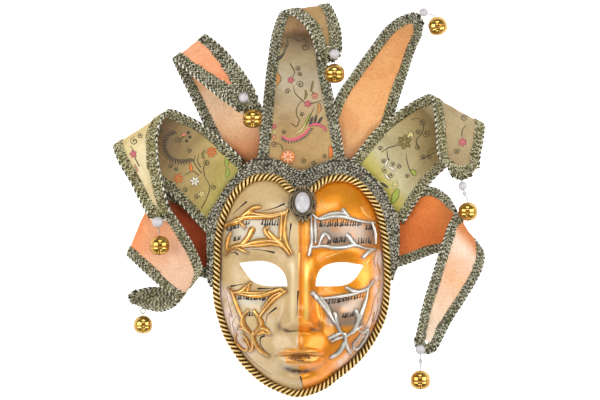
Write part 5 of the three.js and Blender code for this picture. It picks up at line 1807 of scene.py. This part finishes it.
def add_plume(heap, surface, half, colour, fringe, barb, side, path):
    """A curved feather with barbs along one side"""
    spots = evenly(curve(path, np.linspace(0, 1, 60)), 2.3)
    along = unit(np.gradient(spots, axis=0))
    for spot, way in zip(spots, along):
        out = np.array([-way[1], way[0]]) * side
        foot = spot + out * half * 0.6
        tip = foot + (out * 0.85 + way * 0.5) * barb
        bow = (foot + tip) / 2 + way * barb * 0.1
        add_thread(heap, surface, [foot, bow, tip], BARB, fringe, 0.3)
    add_thread(heap, surface, path, (half * 0.6, half, half * 0.6), colour, 0.4)


def make_embroidery():
    adders = {"stems": add_stem, "spirals": add_spiral, "shapes": add_shape, "flowers": add_flower,
              "rosettes": add_rosette, "plumes": add_plume}
    for name, work in EMBROIDERY.items():
        heap, surface = Heap(), on_cloth(name)
        for kind, rows in work.items():
            for row in rows:
                adders[kind](heap, surface, *row)
        piece("embroidery_" + name, heap, [SILK])


BAND_ROWS = 460
# Rows of the hood: width, gap after each pair, distance of the first, and strand sizes
HOOD_ROW = 2.1
HOOD_PAIR_GAP = 0.6
HOOD_FIRST = 0.8
HOOD_EDGE = (0.9, 0.7)
HOOD_CLEAR = 1.6
HOOD_LONG = 3.6
HOOD_WIDE = 1.15
HOOD_THICK = 1.7
HOOD_SUNK = 0.8
HOOD_GILT = 0.12
SLOPE_REACH = math.radians(1)


def band_edges():
    """Inner and outer edge of the hood band and the three levels that it is bent through"""
    angles = np.linspace(BAND_START, BAND_END, BAND_ROWS)
    radius = np.interp(angles, *CORD_LINE)
    slope = (np.interp(angles + SLOPE_REACH, *CORD_LINE) - np.interp(angles - SLOPE_REACH, *CORD_LINE))
    slant = np.hypot(1, slope / (2 * SLOPE_REACH) / radius)
    inner = radius + (CORD_RADIUS + 2 * FIT_GAP) * slant
    outer = np.maximum(np.interp(angles, *BAND_LINE), inner + BAND_LEAST)
    levels = []
    for share in (0, 0.5, 1):
        flat = at_angle(angles, inner + (outer - inner) * share)
        height = np.maximum(BAND_LEVEL, rest_height(flat, BAND_THICK / 2 + SEAT_GAP))
        levels.append(smoothed(height, 5, "edge"))
    return angles, inner, outer, np.array(levels)


def make_hood_band():
    random = np.random.default_rng(11)
    angles, inner, outer, levels = band_edges()
    radial = np.stack([np.cos(angles), np.sin(angles), 0 * angles], 1)

    def spots(distance):
        share = np.clip(distance / (outer - inner), 0, 1)
        low, mid, high = levels
        height = np.where(share < 0.5, low + (mid - low) * share * 2, mid + (high - mid) * (share * 2 - 1))
        return np.column_stack([at_angle(angles, inner + distance), height])

    wide = outer - inner
    tilt = (levels[2] - levels[0]) / wide
    normals = unit(np.column_stack([radial[:, :2] * -tilt[:, None], np.ones(len(angles))]))
    across = unit(np.cross(np.cross(normals, radial), normals))
    heap = Heap()
    rows = int(wide.max() / HOOD_ROW) + 1
    for row in range(rows + 1):
        on_edge = row == rows
        inward = HOOD_FIRST + row * HOOD_ROW + (row // 2) * HOOD_PAIR_GAP
        distance = wide - HOOD_EDGE[0] if on_edge else np.full(len(angles), inward)
        path = spots(np.minimum(distance, wide))
        run = distances(path)
        for face, spacing in ((1, GRAIN_STEP), (-1, UNDER_STEP)):
            step = EDGE_STEP if on_edge else spacing
            marks = np.arange(step / 2, run[-1], step)
            sample = np.column_stack([path, normals, across, unit(np.gradient(path, axis=0)), wide, distance])
            found = read_off(sample, run, marks)
            if not on_edge:
                found = found[found[:, 13] < found[:, 12] - HOOD_CLEAR]
            slant = EDGE_SLANT if on_edge else (ROW_SLANT if row % 2 else -ROW_SLANT)
            up, over, along = (unit(found[:, k : k + 3]) for k in (3, 6, 9))
            direction = slanted(random, along, over, slant * face)
            lift = HOOD_EDGE[1] if on_edge else BAND_THICK / 2 - HOOD_SUNK
            place = found[:, :3] + up * face * lift + random.normal(0, ASTRAY, (len(found), 3))
            tones = strand_tones(random, len(found))
            long = HOOD_LONG * random.uniform(*LONGER_OR_SHORTER, len(found))
            add_grains(heap, place, direction, up, long, HOOD_WIDE * spacing / GRAIN_STEP, HOOD_THICK,
                       tones, HOOD_GILT)
    thin = BAND_THICK / 2 - GROUND_SUNK
    lanes = [spots(wide * share * 0.999 - share) for share in (0, 0.5, 1)]
    over = [lane + normals * thin for lane in lanes]
    below = [lane - normals * thin for lane in lanes]
    sections = np.stack(over + below[::-1], 1)
    add_ground(heap, sections)
    piece("plait_hood", heap, [HOOD_THREADS, BRAID_SHADE_GROUND], ["hood_band"])


# Profile of the setting, and its scrolls and leaves as an angle, a share of the oval and a level
SETTING_PROFILE = ((0.72, 0), (0.86, 0.3), (0.88, 1.2), (0.8, 1.7), (0.7, 1.9), (0.62, 1.6), (0.5, 1.2))
SCROLL = [
    (-0.3, 0.82, 1.4), (-0.26, 0.93, 1.9), (-0.08, 1.01, 2.0), (0.14, 0.99, 2.0), (0.22, 0.89, 2.1),
    (0.12, 0.83, 2.2), (0.03, 0.88, 2.3),
]
LEAF = [(0.0, 0.8, 1.6), (-0.1, 0.88, 2.3), (-0.2, 0.98, 1.8)]
# Fans of petals below, above and beside the oval: angle, number, and how far they reach
FANS = ((-math.pi / 2, 3, 1.2), (math.pi / 2, 3, 1.06), (0, 1, 1.1), (math.pi, 1, 1.1))
FAN_SPREAD = 0.24
# Rings on the setting: share of the oval, level and thickness, and how thick the other bars are
RINGS = ((0.63, 2.2, 0.4), (0.74, 2.3, 0.6))
SCROLL_COUNT = 8
SCROLL_THICK = 0.85
LEAF_THICK = 0.8
FAN_THICK = 1.25


def make_cameo():
    """Filigree setting: a dished oval, two rings, scrolls and leaves around it, and fans of petals"""
    turn, height = CAMEO["tilt"], CAMEO["lift"]
    spin = np.array([[1, 0, 0], [0, math.cos(turn), -math.sin(turn)], [0, math.sin(turn), math.cos(turn)]])
    stand = np.array([CAMEO["x"], CAMEO["y"], height])

    def set_down(places):
        return np.asarray(places) @ spin.T + stand

    def oval(wide, high, level, count):
        angle = angles_round(count)
        return np.stack([wide * np.cos(angle), high * np.sin(angle), level + 0 * angle], 1)

    wide, high, thick = SETTING["half_wide"], SETTING["half_high"], SETTING["thick"]
    heap = Heap()
    sections = [set_down(oval(wide * share, high * share, level, 72)) for share, level in SETTING_PROFILE]
    add_loft(heap, np.array(sections), height=np.full((len(sections), 72), 0.2))

    def add_bar(places, thickest, looped=False):
        """A bent bar, lighter along its top as wear and as a painted highlight, and darker along its sides"""
        count = len(places)
        swell = 1 if looped else np.sin(np.linspace(0.35, math.pi - 0.35, count)) ** 0.7
        top = 0.5 + 0.5 * np.sin(np.arange(8) / 8 * 2 * math.pi)
        add_tube(heap, set_down(places), thickest * swell * np.ones(count), 8, looped,
                 height=np.broadcast_to(top, (count, 8)))

    def around(spots, turn=0.0, mirrored=1):
        """Places given by an angle, a share of the oval and a level"""
        spots = np.array(spots, float)
        angle, share, level = turn + mirrored * spots[:, 0], spots[:, 1], spots[:, 2]
        return np.stack([wide * share * np.cos(angle), high * share * np.sin(angle), level], 1)

    for share, level, thickest in RINGS:
        add_bar(oval(wide * share, high * share, level, 96), thickest, True)
    for k in range(SCROLL_COUNT):
        turn = (k + 0.5) * 2 * math.pi / SCROLL_COUNT
        hand = 1 if math.cos(turn) * math.sin(turn) > 0 else -1
        add_bar(curve(around(SCROLL, turn, hand), np.linspace(0, 1, 26)), SCROLL_THICK)
        add_bar(curve(around(LEAF, turn + math.pi / 8, hand), np.linspace(0, 1, 10)), LEAF_THICK)
    for foot, count, long in FANS:
        for k in range(count):
            fan = (k - (count - 1) / 2) * FAN_SPREAD
            petal = [(fan * 0.4, 0.86, 1.6), (fan, 0.98, 2.4), (fan * 1.1, long - abs(fan) * 0.3, 1.2)]
            add_bar(curve(around(petal, foot), np.linspace(0, 1, 14)), FAN_THICK)
    piece("filigree_setting", heap, [BRONZE], ["cameo_setting"])

    stone = Heap()
    wide, high, rise = CABOCHON["half_wide"], CABOCHON["half_high"], CABOCHON["rise"]
    base = thick / 2 + FIT_GAP
    rows = [oval(wide * 0.98, high * 0.98, base, 64)]
    for angle in np.linspace(0, math.pi / 2, 16):
        share, level = math.cos(angle * 0.98), base + rise * (0.2 + 0.8 * math.sin(angle))
        rows.append(oval(wide * share, high * share, level, 64))
    add_loft(stone, set_down(np.array(rows)))
    piece("pearl_cabochon", stone, [PEARL], ["cameo_cabochon"])


BELL_WALL = 0.8
BELL_SIDES = 56
# Slot: its width, and as shares of the radius its foot, half depth, half height and round end
BELL_SLOT = 1.4
SLOT = {"foot": 0.95, "half": 0.8, "tall": 0.5, "back": 0.1, "end": 0.17}
BELL_PROFILE = [
    (0, 0.985), (0.22, 0.965), (0.42, 0.9), (0.6, 0.8), (0.76, 0.665), (0.88, 0.5), (0.955, 0.32),
    (0.985, 0.15), (0.975, 0), (0.94, -0.035), (1.04, -0.05), (1.075, -0.085), (1.04, -0.12),
    (0.94, -0.135), (0.975, -0.2), (0.975, -0.34), (0.93, -0.5), (0.84, -0.65), (0.7, -0.785),
    (0.52, -0.885), (0.3, -0.95), (0, -0.985),
]


def turned(profile, axis, origin, sides):
    """Sections of a turned body around an axis"""
    axis = unit(np.asarray(axis, float))
    side = unit(np.cross(axis, [0.3, 0.2, 1.0]))
    other = np.cross(axis, side)
    angle = angles_round(sides)
    around = swing(side, other, angle)
    return np.array([origin + axis * level + around * max(radius, 0.01) for radius, level in profile])


def cut_slot(bell, place, crown, radius):
    """Cuts the sound slot and its round ends through the foot of a bell"""
    across = unit(np.cross(crown, [0, 0, 1.0]))
    cutter = Heap()
    foot, half, tall, back, end = (share * radius for share in SLOT.values())
    foot = place - crown * foot
    depth = np.array([0, 0, 1.0])
    square = ((-back, -1), (half, -1), (half, 1), (-back, 1))
    add_loft(cutter, np.array([
        [foot + depth * x + crown * level + across * (z * BELL_SLOT / 2) for x, z in square]
        for level in (-tall, tall)
    ]))
    add_loft(cutter, turned(((end, -tall), (end, tall)), crown, foot + depth * half, 16))
    tool = set_out("slot cutter", cutter.mesh("slot"))
    cut = bell.modifiers.new("slot", "BOOLEAN")
    cut.operation = "DIFFERENCE"
    cut.object = tool
    cut.use_self = True
    with bpy.context.temp_override(object=bell, active_object=bell, selected_objects=[bell]):
        bpy.ops.object.modifier_apply(modifier=cut.name)
    bpy.data.objects.remove(tool)


def bell_stand(hanging):
    """Middle, direction of the crown and radius of a bell"""
    *place, radius = hanging["bell"]
    lean = math.radians(hanging.get("lean", 0))
    return np.array(place, float), np.array([-math.sin(lean), math.cos(lean), 0]), radius


def make_bells():
    for name, hanging in HANGINGS.items():
        place, crown, radius = bell_stand(hanging)
        heap = Heap()
        wall = BELL_WALL / radius
        inner = [(max(r - wall, 0), level * (1 - wall)) for r, level in BELL_PROFILE if r < 1]
        for profile, order in ((BELL_PROFILE, 1), (inner, -1)):
            wide = [(r * radius, level * radius) for r, level in profile]
            add_loft(heap, turned(wide, crown, place, BELL_SIDES)[::order])
        mesh = heap.mesh("bell")
        bell = set_out("jingle_bell_" + name, mesh)
        mesh.materials.append(BRASS)
        cut_slot(bell, place, crown, radius)
        bell.data.set_sharp_from_angle(angle=math.radians(35))
        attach(bell, "root")
        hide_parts("bell_" + name)


# The drilled hole: its radius, how deep it is drawn as a share, and where the round surface ends
HOLE = {"radius": 0.25, "level": 0.72, "angle": 0.16}


def add_pearl(heap, place, radius, axis):
    """A drilled pearl: round, with a small dimple where the wire goes in and out"""
    angle = np.linspace(HOLE["angle"], math.pi - HOLE["angle"], 22)
    profile = [(radius * math.sin(a), -radius * math.cos(a)) for a in angle]
    dimples = [(HOLE["radius"], side * HOLE["level"] * radius) for side in (-1, 1)]
    profile = [dimples[0], *profile, dimples[1]]
    add_loft(heap, turned(profile, axis, np.asarray(place, float), 32))


# Bail over each bell: its lift, size and wire, and the double ring of the bell without a pearl
BAIL = {"lift": 0.9, "size": 1.5, "wire": 0.42}
RING = {"lift": 4.4, "sizes": (2.7, 2.2), "apart": 0.9, "wire": 0.36}
# Twisted wire through the pearls: distance between places, pitch, half gap and thickness
TWIST = {"step": 0.5, "pitch": 3.0, "apart": 0.42, "wire": 0.3}
TOWARDS_VIEW = np.array([0, 0, 1.0])


def make_hangings():
    for name, hanging in HANGINGS.items():
        bell, crown, radius = bell_stand(hanging)
        top = bell + crown * radius
        for kind in ("pearl", "bead"):
            if kind in hanging:
                heap = Heap()
                *spot, size = hanging[kind]
                add_pearl(heap, spot, size, unit(top - np.array(spot, float)))
                piece(f"drilled_{kind}_{name}", heap, [PEARL], [f"{kind}_{name}"])
        heap = Heap()
        turn = angles_round(32)
        side = np.cross(crown, TOWARDS_VIEW)
        bail = top + crown * BAIL["lift"]
        loop = bail + swing(crown, TOWARDS_VIEW, turn) * BAIL["size"]
        add_tube(heap, loop, BAIL["wire"], 8, looped=True, up=side)
        if "pearl" not in hanging:
            for size in RING["sizes"]:
                centre = top + crown * RING["lift"] + TOWARDS_VIEW * (size - 2.4) * RING["apart"]
                add_tube(heap, centre + swing(crown, side, turn) * size, RING["wire"], 8, looped=True)
            piece("wire_loop_" + name, heap, [WIRE], ["ring_" + name])
            continue
        stops = [bail + crown * 0.8]
        stops += [np.array(hanging[kind][:3], float) for kind in ("bead", "pearl") if kind in hanging]
        stops.append(stops[-1] + unit(stops[-1] - stops[-2]) * (hanging["pearl"][3] + 1.5))
        dense = evenly(curve(stops, np.linspace(0, 1, 40)), TWIST["step"])
        along = unit(np.gradient(dense, axis=0))
        side = unit(np.cross(along, [0.1, 0.2, 1.0]))
        lift = np.cross(side, along)
        phase = np.arange(len(dense)) * TWIST["step"] / TWIST["pitch"] * 2 * math.pi
        for hand in (0, math.pi):
            add_tube(heap, dense + swing(side, lift, phase + hand) * TWIST["apart"], TWIST["wire"], 6)
        piece("twisted_wire_" + name, heap, [WIRE], ["wire_" + name])


TABLE_HALF = 3.0
TABLE_LEVEL = -0.001


def make_floor():
    mesh = bpy.data.meshes.new("table")
    signs = ((-1, -1), (1, -1), (1, 1), (-1, 1))
    corners = [(across * TABLE_HALF, up * TABLE_HALF, TABLE_LEVEL) for across, up in signs]
    mesh.from_pydata(corners, [], [(0, 1, 2, 3)])

    def white_board(tree):
        """Lit from behind, so that it stays white under the mask, but throws little light on it"""
        tint = mottled(tree, 2.0, (0.93, 0.93, 0.93, 1), (0.9, 0.9, 0.9, 1))
        seen = node(tree, "LightPath").outputs["Is Camera Ray"]
        glow = mix(tree, seen, (0.22, 0.22, 0.22, 1), (1, 1, 1, 1))
        return {"Base Color": tint["Colour"], "Emission Color": glow}

    mesh.materials.append(finish_of("white board", white_board, Roughness=0.9, Emission_Strength=1.0))
    floor = set_out("white_table", mesh)


# Softboxes: place, what each is turned to, size and power in watts
SOFTBOXES = {
    "left softbox": ((-1.1, 0.0, 0.9), (0, 0, 0.02), (0.9, 1.3), 13),
    "high softbox": ((0, 1.2, 1.0), (0, 0.1, 0.02), (0.9, 0.4), 5),
    "right softbox": ((1.1, 0.0, 0.9), (0, 0, 0.02), (0.9, 1.3), 13),
    "overhead softbox": ((0.0, 0.5, 1.6), (0, 0, 0.02), (0.8, 0.6), 2.5),
    "low softbox": ((0.0, -1.0, 1.1), (0, 0, 0.02), (0.9, 0.4), 4),
}
# Grey of the room below, beside and above the mask
ROOM_GREYS = ((0.0, 0.5), (0.5, 0.42), (1.0, 0.4))
ROOM_STRENGTH = 0.6


def light_scene():
    for name, (place, target, size, power) in SOFTBOXES.items():
        light = bpy.data.lights.new(name, "AREA")
        light.shape = "RECTANGLE"
        light.size, light.size_y = size
        light.energy = power
        lamp = set_out(name, light)
        lamp.location = place
        lamp.rotation_euler = (Vector(target) - Vector(place)).to_track_quat("-Z", "Y").to_euler()
    world = bpy.data.worlds.new("studio")
    bpy.context.scene.world = world
    world.use_nodes = True
    tree = world.node_tree
    up = node(tree, "SeparateXYZ", {0: node(tree, "TexCoord").outputs["Generated"]}).outputs[2]
    tone = ramp(tree, up, [(level, (grey, grey, grey, 1)) for level, grey in ROOM_GREYS])
    tree.links.new(tone, tree.nodes["Background"].inputs["Color"])
    tree.nodes["Background"].inputs["Strength"].default_value = ROOM_STRENGTH


# The camera looks straight down, and one pixel of the photograph is one millimetre of the mask
CAMERA_LENS = 300
CAMERA_SENSOR = 36
CAMERA_RISE = 5.0
CAMERA_LEVEL = 0.045
CAMERA_AIM = (-2, 2)


def set_camera():
    lens = bpy.data.cameras.new("photo view")
    lens.lens = CAMERA_LENS
    lens.sensor_width = CAMERA_SENSOR
    lens.clip_end = 20
    camera = set_out("photo view", lens)
    x, y, _ = in_frame([*CAMERA_AIM, 0])
    camera.location = (x, y, CAMERA_LEVEL + CAMERA_RISE)
    bpy.context.scene.camera = camera


def plain(box):
    return [list(corner) for corner in box]


set_camera()
make_face()
make_piping()
make_painted_lines()
make_staff_strokes()
make_cord()
make_hood_band()
make_cloths()
make_plaits()
make_embroidery()
make_cameo()
make_bells()
make_hangings()
make_floor()
light_scene()
bpy.context.scene.view_settings.view_transform = "Standard"
